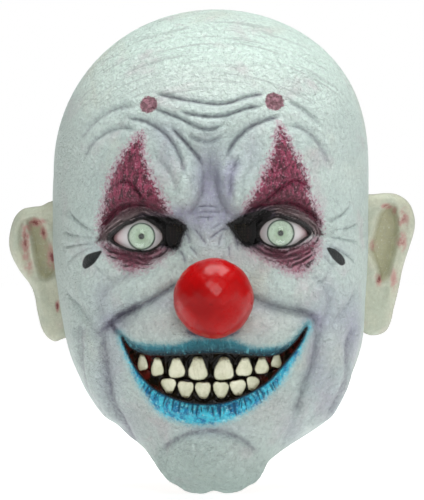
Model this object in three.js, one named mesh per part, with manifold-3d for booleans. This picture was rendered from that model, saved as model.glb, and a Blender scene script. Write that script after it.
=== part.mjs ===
// A full-head latex clown mask: a hollow rubber skin that is pulled on from below, with the pieces
// that are glued to it. Each piece is one named mesh.
// Millimetres. +Z is up, the face looks along -Y, and +X is the mask's own left side.
// The origin is the centre of the neck opening, where the wearer's head goes in.
import * as THREE from "three";
import { mergeVertices } from "three/addons/utils/BufferGeometryUtils.js";
import Module from "manifold-3d";

const wasm = await Module();
wasm.setup();

// ---- Driving dimensions ----
const WALL = 2.2; // latex thickness
const GAP = 0.4; // left between glued pieces
const LOOSE = 0.3; // left around the iris and its lens
const FAR = 400; // longer than the whole mask, for cutters

const CROWN_Z = 252.6;
const CROWN_Y = 8;
const WIDEST_Z = 147; // the cranium above this height is one dome
const HALF_WIDTH = 101;
const FRONT_DEPTH = 106; // from CROWN_Y forward to the forehead
const BACK_DEPTH = 119; // from CROWN_Y back to the occiput
const DOME_POWER = 2.3;
const PLAN_POWER = 2.3; // the head is a little squarer than an ellipse, seen from above
const CORE = new THREE.Vector3(0, 0, 95); // every point of the skin can be seen from here

// Below WIDEST_Z: height, half-width, front and back of the head's level sections.
const LOWER_HEAD = [
  [147, 101, -98, 127],
  [120, 100.6, -97, 125],
  [96, 99.9, -98, 118],
  [67, 96.7, -101, 107],
  [45, 94.5, -103, 98],
  [32, 92, -102, 94],
  [20, 87.2, -101, 90],
  [7, 81.4, -99, 87],
  [-6, 72.9, -96, 76],
  [-18, 57, -93, 46],
  [-27, 44, -92, 8],
  [-36, 35.5, -91, -24],
  [-45, 26, -87, -46],
  [-50, 15, -81, -62],
  [-52, 0, -72, -72],
];

// The face's large forms, the same on both sides: |x| and z of the middle, the spread in x and z,
// and how far the skin stands out there.
const FORMS = [
  [36, 137, 25, 11, 6.5], // brow
  [14, 122, 8, 12, 4], // inner end of the brow
  [58, 66, 17, 22, 7], // cheek
  [25, 44, 17, 9, 5.5], // muzzle beside the nose
  [0, -2, 30, 7, 4], // lower lip
  [0, -30, 21, 12, 8], // chin
  [72, 20, 12, 26, 5], // jowl
  [82, 112, 9, 20, 4], // cheekbone beside the eye
  [43, 108, 20, 13, -3], // eye socket
];

// The rim in side view, as y and z: level with the jaw at the nape, dipping under the chin.
const RIM = [
  [-58, -60],
  [-56, -38],
  [-42, -20],
  [110, 50],
];
const SLIT = { width: 2, top: 128, bottom: -60, holeRadius: 2.5 }; // the entry slit up the nape

const EYE = { x: 43, y: -63, z: 108, rise: 1, outer: 21.8, inner: 19.6 };
const IRIS = { radius: 8.4, pupil: 1.1, thickness: 1, ledge: 18.2, hole: 6.5 };
const CORNEA_RADIUS = 11;
const LIDS = { halfWidth: 17.5, halfHeight: 11 };
const VISION = { inset: 21.5, halfWidth: 6.5, halfHeight: 9, rise: 2, y: -88.5, margin: 3, thickness: 1 };

const NOSE = { x: 1.5, y: -118, z: 69.2, radius: 24.5, wall: 2 };

const ARCH = { depth: 7.6, thickness: 4 }; // the gums run this far behind the skin's outer face
// The bite line curves up at the sides. Each row is how far it runs along one gum, in x.
const BITE = { z: 18.3, rise: 0.0045, gap: 0.6, upper: [-59, 61], lower: [46, -47], steps: 12 };
const TOOTH_DEPTH = { whole: 5.2, inGum: 1.2 }; // each tooth's back is cut to fit the gum
// A tooth's outline, as shares of its half-width and half-height.
const TOOTH_FORM = { edge: 0.75, belly: 0.4, neck: 0.55, shoulder: 0.85, tip: 1.15 };
// Each tooth: x, z of its middle, width and height.
const UPPER_TEETH = [
  [-42.5, 29.2, 6.2, 9.0],
  [-33.3, 26.6, 7.4, 10.6],
  [-21.1, 26.0, 9.2, 11.4],
  [-8.2, 25.8, 11.7, 12.9],
  [7.7, 25.6, 12.3, 12.9],
  [20.2, 26.6, 9.5, 10.8],
  [31.1, 27.4, 8.3, 9.4],
  [39.8, 30.2, 6.1, 7.6],
];
const LOWER_TEETH = [
  [-26.0, 15.2, 8.0, 8.4],
  [-15.6, 12.9, 8.9, 9.0],
  [-4.9, 12.4, 8.6, 9.4],
  [6.1, 12.6, 8.6, 9.4],
  [16.5, 13.9, 8.9, 8.8],
  [25.3, 16.3, 7.1, 7.6],
];
// The open lips, as x and z, anticlockwise from the mask's right corner.
const MOUTH = [
  [-56, 46],
  [-47, 29.5],
  [-36, 15.6],
  [-18, 6.5],
  [0, 4.5],
  [17, 6],
  [32, 11.5],
  [45, 23],
  [53, 37],
  [59, 51],
  [42, 37],
  [25, 34.2],
  [-2, 35.3],
  [-28, 34.5],
  [-43, 36],
];
const UPPER_GUM_TOP = [
  [-59, 54],
  [-30, 41],
  [0, 41],
  [30, 41],
  [61, 57],
];
const LOWER_GUM_BOTTOM = [
  [-48, 24],
  [-38, 10.5],
  [-20, 2],
  [0, -1],
  [20, 2],
  [36, 9],
  [47, 22],
];

const EAR = { hinge: 100, sweep: 0.6, y: 1, depth: 9 };
// The mask's left ear seen from the front, as x and z, from its upper root round to its lobe.
const EAR_OUTLINE = [
  [92, 134],
  [104, 133.5],
  [120, 133.5],
  [128, 127],
  [130.6, 116],
  [128.6, 104],
  [124.6, 93],
  [121, 80],
  [118, 62],
  [115, 50],
  [108, 43.5],
  [98, 45],
  [90, 56],
];
const EAR_BOWL = { x: 113, z: 103, halfWidth: 9, halfHeight: 23, depth: 6 };
const RIGHT_EAR_DROP = 5; // the mask's right ear sits this much lower

// How finely each round form is divided.
const HEAD_COLUMNS = 60;
const HEAD_ROWS = 34;
const STEPS = { hole: 12, lids: 24, corner: 16, mesh: 20, mouth: 36, ear: 30, tooth: 3 };
const BALL_STEPS = [28, 18];
const BOWL_STEPS = [16, 12];
const EYE_STEPS = { dome: 24, disc: 20, domeArc: 9, hollowArc: 8, lensArc: 6 };

// ---- Materials ----
const material = (color, roughness) =>
  new THREE.MeshStandardMaterial({ color, roughness, metalness: 0 });
const LATEX = material(0xc3cfca, 0.6);
const EAR_LATEX = material(0xc9c8ab, 0.6);
const RED = material(0xb51517, 0.2);
const SCLERA = material(0xd9dcd2, 0.2);
const IRIS_GREEN = material(0x9db399, 0.4);
const CLEAR = material(0xe8f2ee, 0.05);
const BLACK_MESH = material(0x0d0f0e, 0.8);
const GUM = material(0x1a100d, 0.2);
const ENAMEL = material(0xcfcba6, 0.25);

// ---- Helpers ----
function solidOf(geometry) {
  const plain = geometry.clone();
  plain.deleteAttribute("normal");
  plain.deleteAttribute("uv");
  const merged = mergeVertices(plain, 1e-3);
  return new wasm.Manifold(
    new wasm.Mesh({
      numProp: 3,
      vertProperties: merged.attributes.position.array,
      triVerts: new Uint32Array(merged.index.array),
    }),
  );
}

function meshOf(name, solid, look) {
  const made = solid.getMesh();
  const geometry = new THREE.BufferGeometry();
  geometry.setAttribute("position", new THREE.BufferAttribute(made.vertProperties, 3));
  geometry.setIndex(new THREE.BufferAttribute(made.triVerts, 1));
  geometry.computeVertexNormals();
  const mesh = new THREE.Mesh(geometry, look);
  mesh.name = name;
  return mesh;
}

const shapeOf = (points) => new THREE.Shape(points.map(([a, b]) => new THREE.Vector2(a, b)));

function curvedShape(points, steps) {
  const curve = new THREE.CatmullRomCurve3(points.map(([a, b]) => new THREE.Vector3(a, b, 0)), true);
  return new THREE.Shape(curve.getPoints(steps).slice(0, -1).map((p) => new THREE.Vector2(p.x, p.y)));
}

// A front-view outline in x and z, extruded from one y to another.
function prism(shape, yFrom, yTo) {
  const geometry = new THREE.ExtrudeGeometry(shape, { depth: yTo - yFrom, bevelEnabled: false });
  geometry.rotateX(Math.PI / 2);
  geometry.translate(0, yTo, 0);
  return geometry;
}

const ellipse = (x, z, halfWidth, halfHeight, steps) =>
  new THREE.Shape(
    new THREE.EllipseCurve(x, z, halfWidth, halfHeight, 0, 2 * Math.PI).getPoints(steps).slice(0, -1),
  );

// ---- The head's form ----
const RAY_RANGE = [10, 260]; // every point of the skin is this far from CORE
const BISECTIONS = 26;
const FACE_BLEND = 0.5; // the face's forms fade out where the skin turns towards the ears

// Half-width, front and back of the level section at height z, or null above the crown or below the chin.
function section(z) {
  if (z >= CROWN_Z || z <= LOWER_HEAD.at(-1)[0]) return null;
  if (z > WIDEST_Z) {
    const rise = (z - WIDEST_Z) / (CROWN_Z - WIDEST_Z);
    const share = Math.sqrt(1 - rise ** DOME_POWER);
    return [HALF_WIDTH * share, CROWN_Y - FRONT_DEPTH * share, CROWN_Y + BACK_DEPTH * share];
  }
  const i = LOWER_HEAD.findIndex((row) => row[0] <= z);
  const above = LOWER_HEAD[Math.max(i - 1, 0)];
  const below = LOWER_HEAD[i];
  const t = i === 0 ? 0 : (z - below[0]) / (above[0] - below[0]);
  return [1, 2, 3].map((k) => below[k] + t * (above[k] - below[k]));
}

function isInside(p) {
  const found = section(p.z);
  if (!found) return false;
  const [halfWidth, front, back] = found;
  const across = Math.abs(p.x) / halfWidth;
  const along = Math.abs(p.y - (front + back) / 2) / ((back - front) / 2);
  return across ** PLAN_POWER + along ** PLAN_POWER < 1;
}

// How far the face's forms stand out at a height and a distance from the middle.
function formHeight(x, z) {
  return FORMS.reduce((height, [atX, atZ, spreadX, spreadZ, rise]) => {
    const away = ((Math.abs(x) - atX) / spreadX) ** 2 + ((z - atZ) / spreadZ) ** 2;
    return height + rise * Math.exp(-away);
  }, 0);
}

// Where the front of the head lies, at x and z.
function faceY(x, z) {
  const [halfWidth, front, back] = section(z);
  const reach = (1 - (Math.abs(x) / halfWidth) ** PLAN_POWER) ** (1 / PLAN_POWER);
  return (front + back) / 2 - ((back - front) / 2) * reach - formHeight(x, z);
}

// The point where a ray from CORE leaves the head.
function surfacePoint(direction) {
  let [near, far] = RAY_RANGE;
  const at = (distance) => CORE.clone().addScaledVector(direction, distance);
  for (let step = 0; step < BISECTIONS; step++) {
    const middle = (near + far) / 2;
    if (isInside(at(middle))) near = middle;
    else far = middle;
  }
  const p = at(near);
  if (direction.y < 0) p.y -= formHeight(p.x, p.z) * Math.min(-direction.y / FACE_BLEND, 1);
  return p;
}

// The closed head as a globe of columns and rows, moved outwards by offset.
function headSolid(offset, columns, rows) {
  const globe = new THREE.SphereGeometry(1, columns, rows);
  globe.rotateX(Math.PI / 2);
  globe.deleteAttribute("normal");
  globe.deleteAttribute("uv");
  const geometry = mergeVertices(globe, 1e-4);
  const position = geometry.attributes.position;
  const direction = new THREE.Vector3();
  for (let i = 0; i < position.count; i++) {
    const p = surfacePoint(direction.fromBufferAttribute(position, i).normalize());
    position.setXYZ(i, p.x, p.y, p.z);
  }
  geometry.computeVertexNormals();
  const normal = geometry.attributes.normal;
  for (let i = 0; i < position.count; i++) {
    position.setXYZ(
      i,
      position.getX(i) + offset * normal.getX(i),
      position.getY(i) + offset * normal.getY(i),
      position.getZ(i) + offset * normal.getZ(i),
    );
  }
  return solidOf(geometry);
}

const clearOfHead = headSolid(GAP, HEAD_COLUMNS, HEAD_ROWS);

// ---- Latex skin ----
function rimCutter() {
  const shape = shapeOf([...RIM, [RIM.at(-1)[0], -FAR], [RIM[0][0], -FAR]]);
  const geometry = new THREE.ExtrudeGeometry(shape, { depth: FAR, bevelEnabled: false });
  // The shape's x and y are the mask's y and z, and its depth is x.
  geometry.applyMatrix4(
    new THREE.Matrix4().makeBasis(
      new THREE.Vector3(0, 1, 0),
      new THREE.Vector3(0, 0, 1),
      new THREE.Vector3(1, 0, 0),
    ),
  );
  geometry.translate(-FAR / 2, 0, 0);
  return solidOf(geometry);
}

function slitCutter() {
  const slot = new THREE.BoxGeometry(SLIT.width, FAR, SLIT.top - SLIT.bottom);
  slot.translate(0, FAR / 2 + CROWN_Y, (SLIT.top + SLIT.bottom) / 2);
  const hole = prism(ellipse(0, SLIT.top, SLIT.holeRadius, SLIT.holeRadius, STEPS.hole), CROWN_Y, FAR);
  return solidOf(slot).add(solidOf(hole));
}

function eyeCutter(side) {
  const z = EYE.z + side * EYE.rise;
  const lids = prism(ellipse(side * EYE.x, z, LIDS.halfWidth, LIDS.halfHeight, STEPS.lids), -FAR, EYE.y);
  const corner = ellipse(
    side * (EYE.x - VISION.inset),
    z + VISION.rise,
    VISION.halfWidth,
    VISION.halfHeight,
    STEPS.corner,
  );
  return solidOf(lids).add(solidOf(prism(corner, -FAR, EYE.y)));
}

function latexSkin() {
  const outer = headSolid(0, HEAD_COLUMNS, HEAD_ROWS);
  const inner = headSolid(-WALL, HEAD_COLUMNS, HEAD_ROWS);
  const mouth = solidOf(prism(curvedShape(MOUTH, STEPS.mouth), -FAR, EYE.y));
  const skin = outer
    .subtract(inner)
    .subtract(rimCutter())
    .subtract(slitCutter())
    .subtract(eyeCutter(-1))
    .subtract(eyeCutter(1))
    .subtract(mouth);
  return meshOf("latex_skin", skin, LATEX);
}

// ---- Ears ----
function ear(name, side, drop) {
  const geometry = prism(curvedShape(EAR_OUTLINE, STEPS.ear), EAR.y, EAR.y + EAR.depth);
  const bowl = new THREE.SphereGeometry(1, ...BOWL_STEPS);
  bowl.scale(EAR_BOWL.halfWidth, EAR_BOWL.depth, EAR_BOWL.halfHeight);
  bowl.translate(EAR_BOWL.x, EAR.y, EAR_BOWL.z);
  const blade = solidOf(geometry).subtract(solidOf(bowl));
  // The blade sweeps back as it stands out from the head.
  const swept = blade.warp((vertex) => {
    vertex[1] += EAR.sweep * (vertex[0] - EAR.hinge);
    vertex[2] -= drop;
  });
  const placed = side > 0 ? swept : swept.mirror([1, 0, 0]);
  return meshOf(name, placed.subtract(clearOfHead), EAR_LATEX);
}

// ---- Nose ----
function noseBall() {
  const ball = (radius) => {
    const geometry = new THREE.SphereGeometry(radius, ...BALL_STEPS);
    geometry.translate(NOSE.x, NOSE.y, NOSE.z);
    return solidOf(geometry);
  };
  const shell = ball(NOSE.radius).subtract(ball(NOSE.radius - NOSE.wall));
  return meshOf("nose_ball", shell.subtract(clearOfHead), RED);
}

// ---- Eyes ----
// Turns a lathe profile of radius and height above the eye's centre into a piece looking along -Y.
function turned(name, profile, side, look, segments) {
  const geometry = new THREE.LatheGeometry(profile.map(([r, h]) => new THREE.Vector2(r, h)), segments);
  geometry.rotateX(Math.PI);
  geometry.translate(side * EYE.x, EYE.y, EYE.z + side * EYE.rise);
  return meshOf(name, solidOf(geometry), look);
}

function arc(radius, fromRadius, toRadius, steps) {
  const from = Math.asin(fromRadius / radius);
  const to = Math.asin(toRadius / radius);
  return Array.from({ length: steps + 1 }, (_, i) => {
    const angle = from + ((to - from) * i) / steps;
    return [radius * Math.sin(angle), radius * Math.cos(angle)];
  });
}

function eye(sideName, side) {
  const rimRadius = IRIS.radius + LOOSE;
  const discBottom = IRIS.ledge + LOOSE;
  const discTop = discBottom + IRIS.thickness;
  const lensBottom = discTop + LOOSE;
  const lensDrop = Math.sqrt(CORNEA_RADIUS ** 2 - IRIS.radius ** 2);
  const lensArc = arc(CORNEA_RADIUS, IRIS.radius, 0, EYE_STEPS.lensArc);
  const lens = lensArc.map(([r, h]) => [r, h + lensBottom - lensDrop]);
  const dome = [
    ...arc(EYE.outer, EYE.outer, rimRadius, EYE_STEPS.domeArc),
    [rimRadius, IRIS.ledge],
    [IRIS.hole, IRIS.ledge],
    ...arc(EYE.inner, IRIS.hole, EYE.inner, EYE_STEPS.hollowArc),
    [EYE.outer, 0],
  ];
  const disc = [
    [IRIS.pupil, discBottom],
    [IRIS.radius, discBottom],
    [IRIS.radius, discTop],
    [IRIS.pupil, discTop],
    [IRIS.pupil, discBottom],
  ];
  return [
    turned(`${sideName}_eye_dome`, dome, side, SCLERA, EYE_STEPS.dome),
    turned(`${sideName}_iris`, disc, side, IRIS_GREEN, EYE_STEPS.disc),
    turned(`${sideName}_cornea`, [[0, lensBottom], ...lens], side, CLEAR, EYE_STEPS.disc),
    visionMesh(`${sideName}_vision_mesh`, side),
  ];
}

// The black mesh behind the inner corner of the eye, which the wearer looks through.
function visionMesh(name, side) {
  const outline = ellipse(
    side * (EYE.x - VISION.inset - VISION.margin / 2),
    EYE.z + side * EYE.rise + VISION.rise,
    VISION.halfWidth + VISION.margin / 2,
    VISION.halfHeight + VISION.margin,
    STEPS.mesh,
  );
  return meshOf(name, solidOf(prism(outline, VISION.y, VISION.y + VISION.thickness)), BLACK_MESH);
}

// ---- Gums and teeth ----
const biteHeight = (x) => BITE.z + BITE.rise * x * x;

// A shell behind the lips that follows the face, cut to a front-view outline.
function gum(name, outline) {
  const outer = headSolid(-ARCH.depth, HEAD_COLUMNS, HEAD_ROWS);
  const inner = headSolid(-ARCH.depth - ARCH.thickness, HEAD_COLUMNS, HEAD_ROWS);
  const front = solidOf(prism(shapeOf(outline), -FAR, 0));
  return meshOf(name, outer.subtract(inner).intersect(front), GUM);
}

function gums() {
  const biteLine = ([from, to], offset) =>
    Array.from({ length: BITE.steps + 1 }, (_, i) => from + ((to - from) * i) / BITE.steps).map(
      (x) => [x, biteHeight(x) + offset],
    );
  const smooth = (points) =>
    new THREE.CatmullRomCurve3(points.map(([x, z]) => new THREE.Vector3(x, z, 0)))
      .getPoints(BITE.steps)
      .map((p) => [p.x, p.y]);
  const top = smooth(UPPER_GUM_TOP);
  const bottom = smooth(LOWER_GUM_BOTTOM);
  const half = BITE.gap / 2;
  return [
    gum("upper_gum", [...biteLine(BITE.upper, half), ...top.reverse()]),
    gum("lower_gum", [...bottom, ...biteLine(BITE.lower, -half)]),
  ];
}

const clearOfGums = headSolid(GAP - ARCH.depth, HEAD_COLUMNS, HEAD_ROWS);

// A tooth is a rounded wedge, narrow at the gum and wide at its biting edge, set on the gum's front.
function tooth(name, [x, z, width, height], narrowEnd) {
  const half = width / 2;
  const tall = height / 2;
  const edge = half * TOOTH_FORM.edge;
  const neck = half * TOOTH_FORM.neck;
  const belly = tall * TOOTH_FORM.belly;
  const shoulder = tall * TOOTH_FORM.shoulder;
  const outline = new THREE.Shape();
  outline.moveTo(-edge, -tall);
  outline.lineTo(edge, -tall);
  outline.quadraticCurveTo(half, -tall, half, -belly);
  outline.quadraticCurveTo(half, belly, neck, shoulder);
  outline.quadraticCurveTo(0, tall * TOOTH_FORM.tip, -neck, shoulder);
  outline.quadraticCurveTo(-half, belly, -half, -belly);
  outline.quadraticCurveTo(-half, -tall, -edge, -tall);
  const geometry = new THREE.ExtrudeGeometry(outline, {
    depth: TOOTH_DEPTH.whole,
    bevelEnabled: false,
    curveSegments: STEPS.tooth,
  });
  geometry.rotateX(Math.PI / 2);
  if (narrowEnd < 0) geometry.rotateY(Math.PI);
  geometry.rotateX(-Math.atan((faceY(x, z + tall) - faceY(x, z - tall)) / height));
  geometry.rotateZ(Math.atan((faceY(x + half, z) - faceY(x - half, z)) / width));
  geometry.translate(x, faceY(x, z) + ARCH.depth + TOOTH_DEPTH.inGum, z);
  return meshOf(name, solidOf(geometry).subtract(clearOfGums), ENAMEL);
}

// ---- Assembly ----
const mask = new THREE.Group();
mask.add(
  latexSkin(),
  ear("left_ear", 1, 0),
  ear("right_ear", -1, RIGHT_EAR_DROP),
  noseBall(),
  ...eye("left", 1),
  ...eye("right", -1),
  ...gums(),
  ...UPPER_TEETH.map((size, i) => tooth(`upper_tooth_${i + 1}`, size, 1)),
  ...LOWER_TEETH.map((size, i) => tooth(`lower_tooth_${i + 1}`, size, -1)),
);

export default mask;
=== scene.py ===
"""Looks of a full-head latex clown mask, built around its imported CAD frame.

Lengths are in millimetres until a mesh is made, when they become metres.
+Z is up, the face looks along -Y and +X is the mask's own left.
"""

import math

import bpy
import numpy as np
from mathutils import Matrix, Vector


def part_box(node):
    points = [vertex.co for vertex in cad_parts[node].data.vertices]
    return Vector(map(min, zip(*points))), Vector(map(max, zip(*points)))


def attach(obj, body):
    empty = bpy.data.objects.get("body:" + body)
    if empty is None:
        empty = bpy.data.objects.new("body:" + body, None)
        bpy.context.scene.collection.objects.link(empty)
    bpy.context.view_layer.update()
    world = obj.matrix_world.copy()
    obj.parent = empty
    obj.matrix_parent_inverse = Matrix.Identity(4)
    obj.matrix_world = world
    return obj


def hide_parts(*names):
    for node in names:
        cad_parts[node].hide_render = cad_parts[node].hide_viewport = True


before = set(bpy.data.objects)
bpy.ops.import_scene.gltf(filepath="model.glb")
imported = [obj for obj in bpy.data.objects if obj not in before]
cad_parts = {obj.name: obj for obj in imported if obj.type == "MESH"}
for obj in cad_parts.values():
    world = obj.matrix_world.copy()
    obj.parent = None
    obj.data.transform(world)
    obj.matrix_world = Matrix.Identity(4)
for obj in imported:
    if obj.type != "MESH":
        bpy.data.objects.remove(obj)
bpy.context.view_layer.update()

MM = 0.001
WALL, LEAST_WALL = 2.2, 1.5  # latex thickness

# ---------------------------------------------------------------- the head's form
CORE = np.array([0.0, 0.0, 95.0])  # every point of the skin can be seen from here
CROWN_Z, WIDEST_Z = 252.6, 147.0
DOME_POWER = 2.3
PLAN_POWER = 2.3
CROWN_LEAN = 3.0  # the crown stands this far to the mask's left
DOME_MIDDLE_Y, DOME_SIDE, DOME_AHEAD, DOME_BEHIND = 8, 101, 106, 119

# Level sections: height, half-width on the mask's right and left, front and back.
SECTIONS = [
    (147, 101, 101, -98, 127),
    (134, 101.6, 101, -97.4, 126.4),
    (120, 101.5, 100.8, -97, 125),
    (96, 101, 100.5, -98, 118),
    (67, 97, 98.5, -101, 107),
    (45, 93, 97, -103, 98),
    (32, 89.7, 94.2, -102, 94),
    (20, 84.7, 89.7, -101, 90),
    (7, 78.3, 84.6, -99, 87),
    (-6, 68.7, 77, -96, 76),
    (-12, 59.5, 70, -94.5, 62),
    (-18, 52.8, 60.4, -93, 46),
    (-25, 43, 48, -92, 12),
    (-33, 36.3, 36.5, -91, -20),
    (-39, 32, 33, -89, -35),
    (-45, 26, 28, -86, -48),
    (-49, 18, 20, -82, -59),
]
CHIN_TIP = (-51.5, 0, 0, -72, -72)

# The rim in side view, as y and z: level with the jaw at the nape, dipping under the chin.
RIM = [(-58, -60), (-56, -38), (-42, -20), (110, 50)]
SLIT_HALF, SLIT_TOP, SLIT_HOLE = 1.0, 128.0, 2.5

EYES = {-1: (-43.0, -63.0, 107.0), 1: (43.0, -63.0, 109.0)}
EYE_RADIUS, EYE_INSIDE, EYE_HOLE = 21.8, 19.6, 6.5
IRIS_RADIUS, IRIS_BACK = 8.4, 18.55  # the disc's back stands this far ahead of the eye's middle
LENS_BACK, LENS_CURVE = 19.85, 11
NEAR_AXIS = 0.02  # the least radius of a turned piece's rows
CAMERA_DISTANCE = 2400.0  # from the camera to the face, at y = FACE_Y
FACE_Y = -95.0
CAMERA_X, CAMERA_Z = 0.6, 98.6
LENS_MM, SENSOR_MM = 281.07, 36.0

FLOOR_Z = -53.5
WORLD_STRENGTH = 0.10
WHITE_BAND = (0.085, 0.17)  # the world fades from white between these heights above the horizon
FLOOR_GLOW = 0.9
# A greyer pool on the floor, painted shade round a point this far in front of the mask. In metres.
POOL_AHEAD, POOL_RADIUS, POOL_EDGE, POOL_FADE = 0.42, 0.36, 0.56, 1.1
POOL_GLOW = 0.22
POOL_BACK = (-0.26, -0.02)  # the pool ends between these places along Y
# Name, place, aim, size and power.
LIGHTS = [
    ("key", (0.14, -1.75, 1.15), (0, 0, 0.1), 0.9, 15),
    ("top", (0.15, -0.05, 1.95), (0, 0, 0.1), 1.4, 43),
    ("fill_left", (2.0, -1.0, 0.5), (0, 0, 0.1), 2.2, 6.5),
]


def smoothstep(low, high, value):
    """0 at low, 1 at high and smooth between them."""
    t = np.clip((value - low) / (high - low), 0, 1)
    return t * t * (3 - 2 * t)


def bell(value, middle, spread):
    """1 at middle, falling away on both sides of it."""
    return np.exp(-(((value - middle) / spread) ** 2))


def blob(u, w, at_u, at_w, spread_u, spread_w):
    """1 at a point, falling away all round it."""
    return np.exp(-(((u - at_u) / spread_u) ** 2) - ((w - at_w) / spread_w) ** 2)


def catmull(points, per=6, closed=False):
    """A smooth curve through the points, as an array."""
    p = np.asarray(points, float)
    n = len(p)
    out = []
    for i in range(n if closed else n - 1):
        if closed:
            a, b, c, d = p[i - 1], p[i], p[(i + 1) % n], p[(i + 2) % n]
        else:
            a, b, c, d = p[max(i - 1, 0)], p[i], p[i + 1], p[min(i + 2, n - 1)]
        square, cube = 2 * a - 5 * b + 4 * c - d, 3 * b - a - 3 * c + d
        for t in np.linspace(0, 1, per, endpoint=False):
            out.append(0.5 * (2 * b + (c - a) * t + square * t * t + cube * t**3))
    if not closed:
        out.append(p[-1])
    return np.array(out)


def section_table():
    """Dense rows of height, right, left, front, back and lean, from the chin to the crown."""
    rows = catmull(SECTIONS[::-1], 12)
    low = np.array(SECTIONS[-1], float)
    tip = np.array(CHIN_TIP, float)
    cap = []
    for t in np.linspace(0, 1, 24, endpoint=False):
        row = tip + (low - tip) * math.sqrt(t * (2 - t) if t < 1 else 1)
        row[0] = tip[0] + (low[0] - tip[0]) * t
        cap.append(row)
    dome = []
    for angle in np.linspace(0, 1, 260)[1:]:
        rise = 1 - (1 - angle) ** 3
        share = math.sqrt(max(1 - rise**DOME_POWER, 0))
        side, z = DOME_SIDE * share, WIDEST_Z + rise * (CROWN_Z - WIDEST_Z)
        front, back = DOME_MIDDLE_Y - DOME_AHEAD * share, DOME_MIDDLE_Y + DOME_BEHIND * share
        dome.append([z, side, side, front, back])
    table = np.vstack([cap, rows, dome])
    lean = CROWN_LEAN * smoothstep(WIDEST_Z, 236, table[:, 0])
    return np.column_stack([table, lean])


TABLE = section_table()


def section(z):
    """Half-width right and left, front, back and lean at a height."""
    return [np.interp(z, TABLE[:, 0], TABLE[:, k]) for k in range(1, 6)]


def is_inside(p):
    """Whether points lie inside the base head."""
    right, left, front, back, lean = section(p[:, 2])
    x = p[:, 0] - lean
    across = np.abs(x) / np.maximum(np.where(x > 0, left, right), 1e-6)
    along = np.abs(p[:, 1] - (front + back) / 2) / np.maximum((back - front) / 2, 1e-6)
    within = (p[:, 2] > TABLE[0, 0]) & (p[:, 2] < CROWN_Z)
    return within & (across**PLAN_POWER + along**PLAN_POWER < 1)


def head_points(directions):
    """Where rays from CORE leave the head."""
    near = np.full(len(directions), 10.0)
    far = np.full(len(directions), 260.0)
    for _ in range(22):
        middle = (near + far) / 2
        inside = is_inside(CORE + directions * middle[:, None])
        near = np.where(inside, middle, near)
        far = np.where(inside, far, middle)
    return CORE + directions * near[:, None]


def front_y(x, z):
    """The y of the head's front, before its relief."""
    right, left, front, back, lean = section(z)
    x = x - lean
    across = np.clip(np.abs(x) / np.maximum(np.where(x > 0, left, right), 1e-6), 0, 1)
    reach = (1 - across**PLAN_POWER) ** (1 / PLAN_POWER)
    return (front + back) / 2 - (back - front) / 2 * reach


def face_plane(x, y, z):
    """Where a point appears on the plane of the face, seen from the front."""
    k = CAMERA_DISTANCE / (CAMERA_DISTANCE + y - FACE_Y)
    return x * k, CAMERA_Z + (z - CAMERA_Z) * k


# ---------------------------------------------------------------- fields on the face plane
def path_field(u, w, path):
    """Distance from a path, positive on its left, and how far along it that is, 0 to 1."""
    a, b = path[:-1], path[1:]
    step = b - a
    length = np.hypot(step[:, 0], step[:, 1])
    start = np.concatenate([[0], np.cumsum(length)[:-1]])
    dx = u[:, None] - a[None, :, 0]
    dy = w[:, None] - a[None, :, 1]
    t = np.clip((dx * step[:, 0] + dy * step[:, 1]) / np.maximum(length**2, 1e-12), 0, 1)
    gap = np.hypot(dx - t * step[:, 0], dy - t * step[:, 1])
    nearest = np.argmin(gap, 1)
    pick = np.arange(len(u))
    side = step[nearest, 0] * dy[pick, nearest] - step[nearest, 1] * dx[pick, nearest]
    along = (start[nearest] + t[pick, nearest] * length[nearest]) / length.sum()
    return gap[pick, nearest] * np.where(side < 0, -1, 1), along


def near_path(u, w, path, margin):
    """Which points lie in the path's box, widened by margin."""
    low, high = path.min(0) - margin, path.max(0) + margin
    return np.flatnonzero((u > low[0]) & (u < high[0]) & (w > low[1]) & (w < high[1]))


def region(u, w, points, margin=14.0, per=4):
    """Signed distance to a closed outline, positive inside it and never below -margin."""
    path = catmull(points, per, closed=True)
    path = np.vstack([path, path[:1]])
    out = np.full(len(u), -margin)
    some = near_path(u, w, path, margin)
    if len(some) == 0:
        return out
    us, ws = u[some], w[some]
    gap, _ = path_field(us, ws, path)
    a, b = path[:-1], path[1:]
    crosses = (a[None, :, 1] > ws[:, None]) != (b[None, :, 1] > ws[:, None])
    height = b[:, 1] - a[:, 1]
    height = np.where(np.abs(height) < 1e-12, 1e-12, height)
    at = a[None, :, 0] + (ws[:, None] - a[None, :, 1]) / height * (b[:, 0] - a[:, 0])
    inside = (crosses & (us[:, None] < at)).sum(1) % 2 == 1
    out[some] = np.maximum(np.where(inside, np.abs(gap), -np.abs(gap)), -margin)
    return out


# ---------------------------------------------------------------- outlines, as u and w
EYE_OPENING = {
    -1: [(-61.5, 105.5), (-54.5, 112.5), (-49, 115), (-42, 117.5), (-34.5, 113.5), (-29.5, 108),
        (-31.5, 102.5), (-38, 98.5), (-46, 98.5), (-54.5, 100.5)],
    1: [(29.5, 109), (32, 114), (36, 117), (41, 118.5), (49, 116.5), (55.5, 114), (60.5, 109),
        (56.5, 105), (51.5, 102), (44.5, 100.5), (38, 101), (32, 104)],
}
EYE_CORNER = {
    -1: [(-27, 113.5), (-23.5, 115.2), (-19.5, 114.6), (-16.6, 112.6), (-16.2, 110.6),
        (-18.2, 107.5), (-19.8, 104), (-21.2, 101), (-23.5, 100.6), (-26, 104), (-27, 109)],
    1: [(13.2, 113.6), (16, 115.6), (20, 115.8), (23, 114.8), (26, 112), (26.4, 108), (25, 104.5),
        (22.6, 102.3), (20, 103), (17.2, 106), (14.8, 110)],
}
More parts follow.
